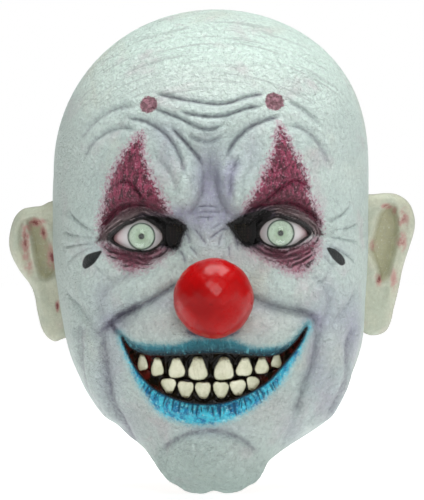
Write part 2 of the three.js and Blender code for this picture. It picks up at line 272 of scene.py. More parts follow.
LIDS = {
    -1: [(-71, 103.5), (-67, 111), (-61, 118.5), (-54, 123), (-46, 125.5), (-38, 124.8),
        (-30, 121), (-22, 118), (-16.5, 115.5), (-17, 106), (-21, 99.5), (-27, 100), (-32, 100.3),
        (-38, 96.9), (-46, 96.8), (-55, 98.8), (-62, 102.8), (-66, 104)],
    1: [(11.5, 115.5), (18, 119), (26, 124), (34, 125.8), (42, 126.8), (50, 125.8), (58, 121.5),
        (65, 115), (70, 107.5), (65, 107), (60.5, 107), (56.5, 103.2), (51.5, 100.2), (44.5, 98.8),
        (38, 99.4), (31, 102.4), (26, 101), (20, 101.5), (14.5, 108)],
}
BLACK = {
    -1: [(-43, 119), (-36, 119.8), (-29, 118.8), (-22, 117.6), (-17, 115.2), (-14.4, 111.6),
        (-16.2, 109), (-18.4, 105), (-20.2, 99.8), (-23, 98.6), (-27, 100.6), (-30, 102.6),
        (-31, 109), (-34.5, 114)],
    1: [(9.6, 114.2), (12.6, 116), (17, 118.4), (24, 121.4), (32, 123.4), (38, 122), (36, 118),
        (31, 113.5), (29.6, 108), (30, 103.2), (26, 100.8), (22, 100.4), (18, 103), (14, 108.2),
        (11.6, 111.4)],
}
TRIANGLE = {
    -1: [(-43, 170), (-41.5, 160.5), (-39, 150), (-34, 139.5), (-29, 129), (-26, 121),
        (-33.5, 119), (-48, 119), (-60, 112), (-67.5, 108), (-68, 117), (-67.5, 121), (-65.5, 129),
        (-63.5, 139), (-60, 147.5), (-55, 156.5), (-49, 164.5)],
    1: [(42, 175.5), (46.5, 168), (51, 160), (56.5, 149), (59.5, 140.5), (61, 132), (64.5, 125),
        (68, 112), (58, 116), (48, 120), (36, 119), (27, 119), (20, 121), (23.5, 128.5), (28, 136),
        (32.5, 146), (36.5, 155), (39.5, 166)],
}
BAG = {
    -1: [(-67, 104), (-65, 97), (-60, 91.5), (-53.5, 86.5), (-48, 85), (-40, 87), (-33.5, 91.5),
        (-26.5, 96.5), (-24, 101), (-38, 102), (-54.5, 102)],
    1: [(22, 102), (26, 96.5), (31, 93.5), (38.5, 89.5), (45.5, 85.5), (51.5, 83), (56.5, 84),
        (61.5, 89.5), (65, 94.5), (67, 107), (58, 104), (44.5, 102), (33, 104)],
}
TEAR = {
    -1: [(-67, 98), (-71, 97.5), (-75.5, 95.5), (-77.3, 91.5), (-77.2, 88), (-75.5, 87),
        (-72, 89.5), (-69.5, 93)],
    1: [(70.8, 100.2), (75.5, 99), (78.7, 95), (79.8, 90.5), (77.7, 88.8), (75.2, 91), (72.7, 95)],
}
DOTS = {
    -1: [(-44, 188), (-41, 192.5), (-36, 193.3), (-33, 190), (-33.6, 185.5), (-38, 182.6),
        (-42.5, 184)],
    1: [(33, 191.5), (36, 195), (41, 195.2), (44.6, 191.5), (44.2, 186.5), (40, 184.2),
        (35, 185.8)],
}
MOUTH = [(-54.5, 45), (-50.5, 39), (-44, 35.3), (-36, 33.6), (-18, 33.6), (-4.5, 34.6),
    (10.5, 34.6), (29, 33), (38.5, 33.5), (45, 36), (51.5, 41.5), (58.5, 50.8), (54, 41),
    (47.5, 32.5), (41.5, 25.5), (35, 18.6), (25.5, 12.2), (12, 6.4), (-1, 4.5), (-14, 5.5),
    (-25.5, 9), (-35, 14), (-42.5, 21.5), (-47.5, 29), (-51.5, 37)]
MOUTH_LINE = [(-62, 52), (-54.5, 45), (-47, 33), (-36, 25), (-18, 20), (0, 19), (17, 20), (32, 24),
    (45, 32), (53, 41), (59, 51), (66, 60)]
UPPER_LIP = [(-56.5, 48.5), (-50, 43.5), (-46, 41.5), (-32, 40), (-20, 40.5), (-14, 42.5),
    (-8.5, 43.5), (10.5, 43.5), (16, 42), (24.5, 38.7), (34, 38.5), (44, 40), (51.5, 45),
    (57.5, 53), (60.5, 54), (58, 46), (50, 34), (30, 26), (0, 22), (-30, 26), (-46, 30),
    (-54.5, 42)]
LOWER_LIP = [(-55, 44), (-53, 37), (-49.5, 27.5), (-44, 16), (-38.5, 8), (-34, 1.5), (-25.5, -4.5),
    (-8.5, -8.3), (5.5, -7), (16, -3.5), (27, 3), (36.5, 11), (43, 18), (49.5, 28), (55, 38),
    (60, 52), (50, 38), (30, 20), (0, 14), (-30, 20), (-46, 32)]

MAKE_UP = {
    "triangle": TRIANGLE, "bag": BAG, "lids": LIDS, "black": BLACK, "tear": TEAR, "dot": DOTS,
}

# The face's large forms: u and w of the middle, the spread each way, and how far they stand out.
FORMS = [
    (-18, 137, 11, 18, 7.0), (16, 138, 10, 18, 7.0),  # brow knots
    (-50, 146, 22, 19, 5.0), (48, 149, 22, 20, 5.0),  # domes over the eyes
    (0, 146, 5, 20, -4.0),  # between the brow knots
    (-43, 108, 20, 13, -3.0), (43, 108, 20, 13, -3.0),  # sockets
    (-22, 109, 8, 10, -6.5), (20.5, 110, 8, 10, -6.5),  # inner corners
    (0, 108, 9, 18, 4.0), (1, 92, 15, 13, 7.0),  # bridge
    (-47, 73, 17, 11, 5.0), (47, 74, 18, 11, 5.0),  # apples of the cheeks
    (-70, 78, 14, 18, 3.0), (73, 80, 14, 18, 3.0),
    (-82, 112, 9, 20, 3.0), (82, 112, 9, 20, 3.0),  # cheekbones beside the eyes
    (-30, 50, 20, 9, 4.5), (31, 49, 20, 9, 4.5),  # muzzle beside the nose
    (0, -2, 30, 7, 3.0),  # under the lower lip
    (1, -33, 26, 14, 8.0),  # chin
    (-68, 22, 12, 26, 4.0), (73, 20, 12, 26, 5.0),  # jowls
    (-86, 150, 10, 26, -2.0), (86, 150, 10, 26, -2.0),  # temples
]

# Tints in the paint, one of them painted shade: u and w of the middle, the spread each way and the
# strength.
LILAC_AND_SHADE = [
    (-4, 140, 8, 22, 0.75), (5, 138, 7, 22, 0.6), (-14, 119, 12, 7, 0.7), (13, 119, 10, 6, 0.6),
    (0, 108, 12, 14, 0.4), (11.5, 139.5, 2.8, 11, 0.9), (-22, 122, 8, 5, 0.4),
    # (84, 50) is painted shade on the left side of the face, level with the mouth.
    (84, 50, 9, 20, 0.9), (15, 149, 4, 7, 0.6), (76, 2, 10, 14, 0.35), (-27, 158, 7, 14, 0.35),
    (25, 158, 7, 14, 0.35), (-31, 172, 12, 7, 0.25),
    (-60, 30, 8, 26, 0.4), (64, 30, 8, 30, 0.55), (-60, 54, 8, 6, 0.6), (64, 56, 8, 6, 0.6),
    (-25, 66, 16, 5, 0.4), (28, 64, 18, 5, 0.4), (-66, 70, 6, 12, 0.35), (70, 70, 6, 12, 0.35),
    (0, -11, 22, 5, 0.35), (-50, -12, 8, 14, 0.3), (50, -12, 8, 14, 0.35), (-70, 100, 8, 6, 0.3),
    (73, 98, 8, 6, 0.3),
]
ROSE = [
    (-30, 52, 22, 9, 0.55), (32, 52, 22, 9, 0.65), (-36, 0, 16, 14, 0.4), (36, 0, 16, 14, 0.5),
    (-25, 76, 12, 8, 0.3), (58, 84, 12, 8, 0.25), (0, 201, 50, 11, 0.35), (-60, 84, 10, 8, 0.35),
    (20, -30, 14, 12, 0.25),
]

# Creases: the path, its depth, the folds on its left and right, their reach, the groove's width
# and how much the creases' lavender wash gathers there.
# Under the nose and beside the left mouth corner the wash is painted shadow.
CREASES = [
    # forehead
    ([(-82, 163), (-76, 172), (-68, 180), (-60, 184.5), (-52, 186.5), (-43, 186.5)], 1.2, 0.6, 1.0,
        5.5, 1.8, 0.6),
    ([(-37, 195), (-30, 193.6), (-18, 191), (-8, 189.3), (2, 188.2), (11, 188.8), (21.8, 192.4),
        (30, 194), (37, 194.6)], 1.4, 0.7, 1.1, 5, 1.3, 0.9),
    ([(44, 191), (52, 187.5), (58, 183), (64, 178), (68, 172)], 1.2, 0.6, 1.0, 5, 1.6, 0.6),
    ([(-40, 187), (-31, 184), (-24, 181.5), (-18.5, 179), (-12.5, 176), (-7, 173.5), (-1, 172.5),
        (4, 174), (10, 177.5)], 1.3, 1.0, 0.8, 4, 1.3, 0.8),
    ([(-22, 184.5), (-10, 181.5), (-1, 180.5), (7.5, 181), (16, 183.5), (23.5, 186), (34, 187)],
     1.4, 1.0, 1.0, 4, 1.3, 0.9),
    ([(-18, 171.5), (-10, 167), (-3, 165.2), (3, 166.6), (10, 171)], 1.1, 0.8, 0.6, 3.5, 1.3, 0.7),
    ([(-8, 170), (-2, 168.6), (4, 170)], 0.5, 0.4, 0.4, 2, 1.0, 0.3),
    ([(-80, 152), (-75, 161), (-68, 168), (-60, 172.5), (-52, 173.5), (-43, 171)], 1.3, 0.8, 1.6,
        6, 1.8, 0.6),
    ([(-55, 179.5), (-46, 179), (-37, 176), (-28, 169.5), (-21.3, 160), (-17.5, 150), (-15.5, 141)],
     1.2, 0.9, 1.1, 5, 1.5, 0.8),
    ([(-27, 176), (-19.7, 169), (-12.6, 161), (-6.6, 153.4), (-3.5, 146)], 1.6, 0.8, 1.2, 4.5, 1.4,
        1.0),
    ([(44, 175.5), (53, 174), (60, 170.5), (66, 163.5), (70, 156), (72.5, 147)], 1.2, 0.7, 1.4, 6,
        1.8, 0.7),
    ([(46, 180.5), (38, 179.5), (30, 177), (21.9, 172.6), (14.7, 165.5), (10.7, 158.4), (8.7, 152)],
     1.5, 1.6, 0.8, 5.5, 1.5, 0.9),
    # brow knots
    ([(-35.5, 158), (-30, 151.5), (-25, 145), (-21.8, 138), (-21.3, 131), (-23.5, 124)], 0.65, 0.8,
        0.8, 5, 2.2, 0.35),
    ([(-38.5, 146), (-32.5, 138.5), (-28.5, 130), (-25.5, 121.5)], 0.25, 0.4, 0.4, 4, 1.8, 0.2),
    ([(-14, 158), (-11, 149), (-10, 140), (-12, 131)], 0.4, 0.4, 0.4, 3.5, 1.8, 0.15),
    ([(-4.5, 152), (-4, 143), (-4.5, 135), (-7, 129), (-11, 122.5), (-16, 117)], 1.5, 0.3, 2.0, 6,
        2.2, 0.6),
    ([(3, 152), (2.8, 143), (3.6, 135), (6.6, 127), (10, 120.5), (13.5, 116)], 1.5, 2.0, 0.3, 6,
        2.2, 0.6),
    ([(18.5, 158), (15, 151), (12, 143), (12, 134), (14.5, 127)], 1.0, 0.8, 0.9, 4, 1.8, 0.7),
    ([(30, 154), (23.5, 147), (19.8, 139.5), (19.8, 132), (22, 124)], 0.6, 0.7, 0.7, 4.5, 2.1,
        0.35),
    ([(34, 148), (28.5, 142), (26.5, 134)], 0.25, 0.35, 0.35, 3.5, 1.8, 0.15),
    ([(-1, 162), (-0.5, 150), (0, 140)], 0.4, 0.5, 0.5, 3, 1.3, 0.2),
    # folds across the painted triangles
    ([(26, 122), (30.5, 126.5), (36, 131), (42, 136), (47.5, 140), (53, 141), (59, 137), (63, 130)],
     0.8, 1.3, 0.8, 3, 1.0, 0.0),
    ([(30, 121), (37, 125.5), (46, 129.5), (55, 129), (63, 123)], 0.5, 0.8, 0.4, 2.5, 0.9, 0.0),
    ([(-37, 126), (-43, 132), (-49, 138.5), (-54, 141), (-60, 138)], 0.8, 0.9, 1.1, 3, 1.0, 0.0),
    ([(-31, 121), (-39, 127.5), (-48, 130), (-57, 128), (-64, 121)], 0.5, 0.4, 0.8, 2.5, 0.9, 0.0),
    # over the lids
    ([(-70, 105), (-67, 112), (-62, 118.5), (-57, 123.5), (-49, 126.5), (-40.5, 126),
        (-33.5, 122.5), (-27, 119), (-17, 115.5)], 1.9, 2.2, 0.6, 4.5, 1.2, 0.0),
    ([(12, 116), (20.5, 120.5), (25, 124), (33.5, 126.5), (42, 127.5), (50.5, 127), (57.5, 123.5),
        (64.5, 118), (69, 109)], 1.9, 2.2, 0.6, 4.5, 1.2, 0.0),
    # bridge
    ([(-12, 124.5), (-5, 125.6), (2, 125), (7, 124)], 0.68, 0.3, 0.3, 1.8, 0.8, 0.90),
    ([(-11, 121.2), (-3, 122.2), (5, 121.8), (9, 120.8)], 0.68, 0.3, 0.3, 1.8, 0.8, 0.90),
    ([(-13, 117.8), (-5, 118.8), (4, 118.4)], 0.60, 0.3, 0.3, 1.8, 0.8, 0.72),
    ([(-14, 114.5), (-9, 110.5), (-4.5, 104), (-2, 99)], 0.68, 0.25, 0.25, 1.8, 0.8, 1.08),
    ([(13, 114), (6, 110.8), (0.5, 106.5), (-3, 103)], 0.68, 0.25, 0.25, 1.8, 0.8, 1.08),
    ([(-17, 111), (-14, 106.5), (-12.5, 101)], 0.60, 0.25, 0.25, 1.8, 0.8, 1.08),
    ([(-9, 117), (-6.5, 111), (-6, 106)], 0.52, 0.2, 0.2, 1.6, 0.8, 0.72),
    ([(8, 117), (3, 113), (-2, 111)], 0.52, 0.2, 0.2, 1.6, 0.8, 0.72),
    ([(-20, 100), (-17, 95), (-15, 89)], 0.68, 0.3, 0.3, 2, 0.9, 1.08),
    ([(-14.5, 102), (-10, 97.5), (-8, 93)], 0.60, 0.25, 0.25, 1.8, 0.8, 0.90),
    ([(8, 111), (5.5, 105), (5, 98)], 0.60, 0.25, 0.25, 1.8, 0.8, 0.90),
    ([(13.5, 109.5), (16, 104), (17, 97)], 0.60, 0.25, 0.25, 1.8, 0.8, 1.08),
    ([(11.5, 104), (11, 98), (12, 92)], 0.60, 0.25, 0.25, 1.8, 0.8, 0.90),
    # crow's feet
    ([(-68, 109), (-75, 112), (-82, 118), (-88, 126)], 0.92, 0.5, 0.5, 3, 1.0, 0.48),
    ([(-69, 105.5), (-76, 106.5), (-84, 108), (-92, 112)], 0.69, 0.4, 0.4, 2.6, 0.9, 0.42),
    ([(-69, 103), (-76, 102.5), (-84, 101), (-92, 101)], 0.80, 0.5, 0.5, 2.6, 0.9, 0.42),
    ([(-70, 101), (-77, 98.5), (-84, 93.5), (-89, 87)], 0.69, 0.4, 0.4, 2.6, 0.9, 0.42),
    ([(-68, 97), (-72, 92.5), (-78, 84)], 0.57, 0.4, 0.4, 2.6, 0.9, 0.42),
    ([(68, 114), (74, 117), (81, 122), (87, 130)], 0.80, 0.5, 0.5, 3, 1.0, 0.42),
    ([(69, 110), (76, 111), (84, 113), (91, 118)], 0.69, 0.4, 0.4, 2.6, 0.9, 0.42),
    ([(69, 107), (76, 106), (84, 104), (91, 104)], 0.80, 0.5, 0.5, 2.6, 0.9, 0.42),
    ([(68, 103), (75, 99.5), (83, 94), (89, 87)], 0.92, 0.5, 0.5, 2.8, 0.9, 0.52),
    ([(67, 98), (71, 92), (77, 84)], 0.57, 0.4, 0.4, 2.6, 0.9, 0.42),
    # eye bags
    ([(-66, 100), (-62, 92.5), (-55, 86), (-47, 83.5), (-39, 85.5), (-32, 90.5), (-25, 95)],
     0.6, 0.3, 0.2, 3.5, 1.3, 0.0),
    ([(23, 98.5), (30, 92), (38, 88), (45.5, 84), (52, 80.8), (58, 82), (63.5, 87.5), (67, 96)],
     0.6, 0.3, 0.2, 3.5, 1.3, 0.0),
    ([(-72, 96), (-70, 88), (-63, 81), (-54, 77)], 0.5, 0.6, 0.6, 4, 1.6, 0.35),
    ([(71, 95), (72, 87), (68, 79), (60, 75)], 0.5, 0.6, 0.6, 4, 1.6, 0.35),
    ([(-30, 92), (-38, 83), (-48, 79)], 0.4, 0.5, 0.5, 4, 1.6, 0.2),
    # smile folds and cheeks
    ([(-15, 80), (-24, 75.5), (-34, 69.5), (-46, 63), (-55, 58.5), (-61, 54), (-64, 50)], 1.9, 1.2,
        2.2, 8, 2.0, 0.95),
    ([(-66, 56), (-62, 53.5), (-58.5, 49.5), (-55, 45)], 1.2, 0.3, 0.3, 3, 2.0, 1.5),
    ([(-42, 65), (-52, 60), (-60, 55), (-67, 47), (-69, 40)], 0.5, 0.2, 0.2, 4, 3.0, 1.1),
    # a band of wash with no relief: painted shade under the left cheek's fold
    ([(-38, 67), (-48, 62.5), (-57, 57.5), (-63, 52.5)], 0.5, 0.0, 0.0, 4, 3.2, 1.35),
    ([(44, 63), (55, 61), (64, 57), (67, 50), (66, 41)], 0.5, 0.2, 0.2, 4, 3.0, 0.9),
    ([(-44, 86), (-56, 80.5), (-64, 74), (-67.5, 66.5), (-66, 59), (-61, 53)], 1.1, 1.6, 0.6, 7,
        2.6, 0.5),
    ([(-92, 78), (-85, 70), (-77, 62), (-71, 51), (-68, 40)], 0.7, 0.8, 0.8, 7, 2.8, 0.4),
    ([(-66, 52), (-65, 38.5), (-62, 22), (-59, 8.5), (-55, -1.5), (-50, -12), (-44, -24)],
     1.5, 1.4, 1.4, 8, 2.8, 0.9),
    ([(-78.5, 58), (-77, 38), (-74, 20), (-67, 4), (-60, -8)], 1.2, 1.1, 1.1, 8, 3.2, 0.7),
    ([(-52, 20), (-49, 6), (-44, -6), (-38, -16)], 0.5, 0.6, 0.6, 6, 3.0, 0.15),
    ([(18, 73), (28, 68), (38, 64.3), (48, 61.8), (57, 60), (62.5, 56.5), (64.5, 48), (64.5, 42),
        (62.5, 32), (61, 25.5), (56.5, 15.5), (53.5, 4), (51, -6)], 1.9, 1.8, 1.6, 8, 2.3, 0.62),
    ([(58, 86), (66, 79.5), (71, 72), (71, 63), (68.5, 53), (68, 44)], 1.2, 0.6, 1.7, 7, 2.4, 0.5),
    ([(90, 80), (85, 71.5), (79, 62.5), (73.5, 52), (71, 42)], 0.8, 0.8, 0.8, 7, 2.6, 0.45),
    ([(84, 56), (80.5, 39), (77, 24), (71, 8), (65, -4)], 1.3, 1.2, 1.2, 8, 2.8, 0.8),
    ([(71, 34), (69, 20), (64, 4), (56, -10)], 0.8, 0.8, 0.8, 6, 2.4, 0.4),
    ([(53, 8), (50.5, -6), (46.5, -16), (41, -28)], 0.8, 0.8, 0.8, 6, 2.4, 0.35),
    # under the nose: wash only, painted shadow cast by the nose
    ([(-19, 53), (-12, 47.6), (-3, 45.2), (6, 45.2), (14, 48), (21, 53)], 0.3, 0.0, 0.0, 3, 2.4,
        1.5),
    # chin
    ([(-33, -27), (-26, -20.5), (-18, -16), (-10, -13.3), (-1, -12.3), (8, -13.5), (17, -17),
        (25, -22.5), (31, -29)], 1.1, 0.5, 1.0, 7, 1.9, 0.8),
    ([(1.5, -36), (1.5, -44), (1.5, -51)], 0.6, 0.6, 0.6, 5, 2.4, 0.15),
]

LIP_CRACKS, LIP_REACH = 38, 41  # how many cracks, and how far they spread from the middle
FOLD_GAIN, GROOVE_GAIN = 1.6, 1.2
LATTICE, LATTICE_SHIFT = 61, 500.0  # the noise tables' side, and a shift that keeps places positive


def blob_height(u, w, blobs):
    """The sum of many blobs, each with its own rise."""
    height = np.zeros(len(u))
    for at_u, at_w, spread_u, spread_w, rise in blobs:
        height += rise * blob(u, w, at_u, at_w, spread_u, spread_w)
    return height


def lattice_noise(u, w, size, seed):
    """Smooth random values between -1 and 1, one independent value every size millimetres."""
    table = np.random.default_rng(seed).uniform(-1, 1, (LATTICE, LATTICE))
    x, y = u / size + LATTICE_SHIFT, w / size + LATTICE_SHIFT
    i, j = np.floor(x).astype(int), np.floor(y).astype(int)
    a, b = x - i, y - j
    a, b = a * a * (3 - 2 * a), b * b * (3 - 2 * b)

    def corner(di, dj):
        return table[(i + di) % LATTICE, (j + dj) % LATTICE]

    near = corner(0, 0) * (1 - a) + corner(1, 0) * a
    far = corner(0, 1) * (1 - a) + corner(1, 1) * a
    return near * (1 - b) + far * b


def leather_relief(u, w):
    """Shallow lumps and fine wrinkles all over the face."""
    lumps = 0.45 * lattice_noise(u, w, 11, 1) + 0.22 * lattice_noise(u + 0.4 * w, w - 0.4 * u, 5, 2)
    wrinkle = 1 - np.abs(lattice_noise(u + 2 * lattice_noise(u, w, 6, 5), w, 3.6, 3))
    across = 1 - np.abs(lattice_noise(0.3 * u, w, 3.0, 4))
    return lumps - 0.28 * wrinkle**6 - 0.30 * across**8 * smoothstep(150, 185, w)


def crease_relief(u, w):
    """The creases' relief, the dark wash that gathers in them, in two places painted shadow, and
    the lilac haze round them.
    """
    height, wash, haze = np.zeros(len(u)), np.zeros(len(u)), np.zeros(len(u))
    for points, depth, left, right, reach, width, paint in CREASES:
        path = catmull(points, 5)
        some = near_path(u, w, path, 4 * reach)
        if len(some) == 0:
            continue
        gap, along = path_field(u[some], w[some], path)
        length = np.hypot(*np.diff(path, axis=0).T).sum()
        taper = min(0.32, 9 / length)
        ends = smoothstep(0, taper, along) * smoothstep(0, taper, 1 - along)
        far = np.abs(gap)
        fold = far / reach * np.exp(1 - far / reach)
        fold = fold * np.where(gap > 0, left, right)
        groove = bell(far, 0, width)
        height[some] += ends * (FOLD_GAIN * fold - GROOVE_GAIN * depth * groove)
        wash[some] = np.maximum(wash[some], ends * paint * groove)
        haze[some] = np.maximum(haze[some], ends * min(paint, 1.1) * np.exp(-far / (2.2 * width)))
    return height, wash, haze


def lip_relief(u, w, fields):
    """The two lips, which crest a little way out from the mouth's edge."""
    out = -fields["mouth"]
    line = catmull(MOUTH_LINE, 6)
    middle = np.interp(u, line[:, 0], line[:, 1])
    lower = smoothstep(1.5, -1.5, w - middle)
    middling = smoothstep(60, 40, np.abs(u - 2))
    upper_crest = 1.6 * bell(out, 3.5, 2.8)
    lower_crest = 3.6 * bell(out, 6, 4.2)
    roll = -1.1 * bell(out, 0, 1.6)
    upper = (1 - lower) * upper_crest * (0.5 + 0.5 * middling)
    return upper + lower * lower_crest * middling + roll


def lip_cracks(u, w):
    """Short cracks that run down the lower lip and narrow to a point."""
    rng = np.random.default_rng(7)
    depth = np.zeros(len(u))
    for i in range(LIP_CRACKS):
        at = -LIP_REACH + 2 * LIP_REACH * (i + rng.uniform(-0.45, 0.45)) / (LIP_CRACKS - 1)
        top = 4.5 + 0.0085 * at * at - rng.uniform(-1, 3)
        bottom = top - rng.uniform(3.5, 10.5)
        lean = at * 0.09 + rng.uniform(-1.5, 1.5)
        bend = rng.uniform(-0.7, 0.7)
        middle = (at + lean * 0.5 + bend, (top + bottom) / 2)
        path = np.array([(at, top), middle, (at + lean, bottom)])
        some = near_path(u, w, path, 3)
        gap, along = path_field(u[some], w[some], path)
        width = rng.uniform(0.5, 1.2) * (1 - 0.75 * along)
        mark = rng.uniform(0.7, 1.0) * bell(gap, 0, width) * smoothstep(0, 0.3, 1 - along)
        depth[some] = np.maximum(depth[some], mark)
    return depth


def strands(u, w, fields, paint):
    """Fine wrinkles that run round each eye, from -1 in a groove to 1 on a ridge."""
    out = -np.maximum(fields["opening-1"], fields["opening1"])
    sway = 1.3 * lattice_noise(u, w, 13, 8) + 0.55 * lattice_noise(u, w, 3.5, 9)
    pitch = np.where(paint["bag"] > paint["lids"], 3.0, 2.2)
    wave = np.sin(2 * math.pi * (out + sway) / pitch)
    strength = 0.65 + 0.75 * lattice_noise(u, w, 4, 10)
    covered = smoothstep(-1.5, 1.0, np.maximum(paint["bag"], paint["lids"]))
    return wave * strength * covered * smoothstep(1.0, 2.2, out)


def eye_blend(side, u, w, fields):
    """The skin's y where it lies over an eyeball, and how far each point follows it, 0 to 1."""
    x, y, z = EYES[side]
    out = -fields[f"opening{side}"]
    proud = 2.5 + 0.9 * bell(out, 2.2, 1.1) - 0.7 * bell(out, 4.2, 1.0)
    radius = EYE_RADIUS + proud
    off = np.hypot(u - x, w - z)
    turn = 0.85 * radius
    near = np.minimum(off, turn)
    ball = y - np.sqrt(radius**2 - near**2) + (off - near) * 1.6
    reach = np.where(w > z, 8.5, 9.5)
    return ball, 1 - smoothstep(2.0, reach, out)


# ---------------------------------------------------------------- meshes
def vertex_normals(points, faces):
    """Area-weighted normals of a triangle mesh."""
    a, b, c = (points[faces[:, k]] for k in range(3))
    flat = np.cross(b - a, c - a)

    def total(axis):
        return sum(np.bincount(faces[:, k], flat[:, axis], len(points)) for k in range(3))

    out = np.column_stack([total(axis) for axis in range(3)])
    return out / np.maximum(np.linalg.norm(out, axis=1), 1e-12)[:, None]


CUT_SNAP = 0.12  # a point nearer a cut than this, in millimetres, counts as on it


def clip(points, faces, field):
    """The part of a triangle mesh where field is 0 or more. Points may carry further columns."""
    field = np.where(np.abs(field) < CUT_SNAP, 0.0, field)
    kept = field >= 0
    count = kept[faces].sum(1)
    whole = faces[count == 3]
    one, two = faces[count == 1], faces[count == 2]
    one = roll_rows(one, np.argmax(kept[one], 1))
    two = roll_rows(two, np.argmin(kept[two], 1))
    cut = np.vstack([one[:, [0, 1]], one[:, [0, 2]], two[:, [0, 1]], two[:, [0, 2]]])
    if len(cut) == 0:
        return points, faces
    pairs, which = np.unique(np.sort(cut, 1), axis=0, return_inverse=True)
    which = which.ravel()
    a, b = pairs[:, 0], pairs[:, 1]
    t = (field[a] / (field[a] - field[b]))[:, None]
    made = points[a] * (1 - t) + points[b] * t
    ids = len(points) + which
    n, m = len(one), len(two)
    ab, ac, pq, pr = ids[:n], ids[n : 2 * n], ids[2 * n : 2 * n + m], ids[2 * n + m :]
    new_one = np.column_stack([one[:, 0], ab, ac])
    new_two = [np.column_stack([pq, two[:, 1], two[:, 2]]), np.column_stack([pq, two[:, 2], pr])]
    points = np.vstack([points, made])
    faces = np.vstack([whole, new_one, *new_two])
    used, renumbered = np.unique(faces, return_inverse=True)
    return points[used], renumbered.reshape(-1, 3)


def roll_rows(rows, first):
    """Each triangle turned so that it starts at its given corner."""
    return np.take_along_axis(rows, (first[:, None] + np.arange(3)) % 3, 1)


def weld(points):
    """Joins coincident points: a point for each joined one, and each point's joined number."""
    _, joined = np.unique(np.round(points[:, :3], 3), axis=0, return_inverse=True)
    joined = joined.ravel()
    first = np.zeros(joined.max() + 1, int)
    first[joined] = np.arange(len(joined))
    return first, joined


def is_whole(tri):
    """Which triangles have three different corners."""
    return (tri[:, 0] != tri[:, 1]) & (tri[:, 1] != tri[:, 2]) & (tri[:, 2] != tri[:, 0])


def smoothed(points, faces, rounds, fixed):
    """Each point moved towards the middle of its neighbours, apart from the fixed ones."""
    edges = np.vstack([faces[:, [0, 1]], faces[:, [1, 2]], faces[:, [2, 0]]])
    ends = np.concatenate([edges[:, 0], edges[:, 1]])
    others = np.concatenate([edges[:, 1], edges[:, 0]])
    number = np.maximum(np.bincount(ends, minlength=len(points)), 1)[:, None]
    for _ in range(rounds):
        total = [np.bincount(ends, points[others, k], len(points)) for k in range(3)]
        points = np.where(fixed[:, None], points, np.column_stack(total) / number)
    return points


def boundary_edges(faces):
    """The edges that belong to one triangle only."""
    edges = np.vstack([faces[:, [0, 1]], faces[:, [1, 2]], faces[:, [2, 0]]])
    key = np.sort(edges, 1)
    _, first, count = np.unique(key, axis=0, return_index=True, return_counts=True)
    return edges[first[count == 1]]


def make_piece(
    name, points, faces, materials, face_material=None, attributes=None, corner_uv=None, sharp=None
):
    """A mesh object from points in millimetres. Faces is an array of triangles or of quads."""
    mesh = bpy.data.meshes.new(name)
    sides = faces.shape[1]
    mesh.vertices.add(len(points))
    mesh.vertices.foreach_set("co", (np.asarray(points, float) * MM).astype(np.float32).ravel())
    mesh.loops.add(faces.size)
    mesh.loops.foreach_set("vertex_index", faces.astype(np.int32).ravel())
    mesh.polygons.add(len(faces))
    mesh.polygons.foreach_set("loop_start", (np.arange(len(faces)) * sides).astype(np.int32))
    for material in materials:
        mesh.materials.append(material)
    if face_material is not None:
        mesh.polygons.foreach_set("material_index", face_material.astype(np.int32))
    for key, values in (attributes or {}).items():
        layer = mesh.attributes.new(key, "FLOAT", "POINT")
        layer.data.foreach_set("value", np.asarray(values, np.float32))
    if corner_uv is not None:
        layer = mesh.uv_layers.new(name="OFBake")
        layer.data.foreach_set("uv", corner_uv.astype(np.float32).ravel())
    mesh.update(calc_edges=True)
    mesh.validate()
    mesh.shade_smooth()
    if sharp is not None:
        mesh.set_sharp_from_angle(angle=math.radians(sharp))
    piece = bpy.data.objects.new(name, mesh)
    bpy.context.scene.collection.objects.link(piece)
    return piece


def settle(piece, slot, *nodes):
    """Puts a piece on the mask's one body and hides the CAD nodes it stands for; its slot is not
    used.
    """
    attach(piece, "root")
    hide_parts(*nodes)
    return piece


# ---------------------------------------------------------------- the latex skin
def head_grid():
    """The base head as a globe of columns and rows round CORE, with a seam at the back.

    Each point carries its place in the texture.
    """
    fine, tall = ((0.45, 0.75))  # degrees across the face, mm up it
    front = np.arange(-66, 66, fine)
    side = np.arange(66, 175, 1.5)
    nape = np.concatenate([np.arange(175, 179, 0.5), np.arange(179, 180, 0.12), [180]])
    right_side = -side[::-1]
    azimuth = np.radians(np.concatenate([-nape[::-1], right_side[:-1], front, side[:-1], nape]))
    face_rows = np.degrees(np.arctan2(np.arange(-52, 206, tall) - CORE[2], 98))
    below = np.arange(-80, face_rows[0] - 0.4, 0.7)
    above = np.arange(face_rows[-1] + 0.5, 89.5, 1.2)
    elevation = np.radians(np.concatenate([below, face_rows, above, [90]]))
    across, up = np.meshgrid(azimuth, elevation)
    x, y, z = np.cos(up) * np.sin(across), -np.cos(up) * np.cos(across), np.sin(up)
    directions = np.column_stack([x.ravel(), y.ravel(), z.ravel()])
    columns, rows = len(azimuth), len(elevation)
    along = np.tile(np.linspace(0.002, 0.998, columns), rows)
    place = np.column_stack([along, np.repeat(np.linspace(0, 1, rows), columns)])
    corner = (np.arange(rows - 1)[:, None] * columns + np.arange(columns - 1)[None, :]).ravel()
    faces = np.vstack(
        [
            np.column_stack([corner, corner + 1, corner + columns + 1]),
            np.column_stack([corner, corner + columns + 1, corner + columns]),
        ]
    )
    return head_points(directions), faces, place


def skin_fields(base):
    """Signed distances to the painted and cut outlines, positive inside them."""
    u, w = face_plane(base[:, 0], base[:, 1], base[:, 2])
    ahead = base[:, 1] < -20
    u, w = np.where(ahead, u, 1e4), np.where(ahead, w, 1e4)
    fields = {"mouth": region(u, w, MOUTH)}
    for side in (-1, 1):
        fields[f"opening{side}"] = region(u, w, EYE_OPENING[side])
        fields[f"corner{side}"] = region(u, w, EYE_CORNER[side])
    return u, w, fields


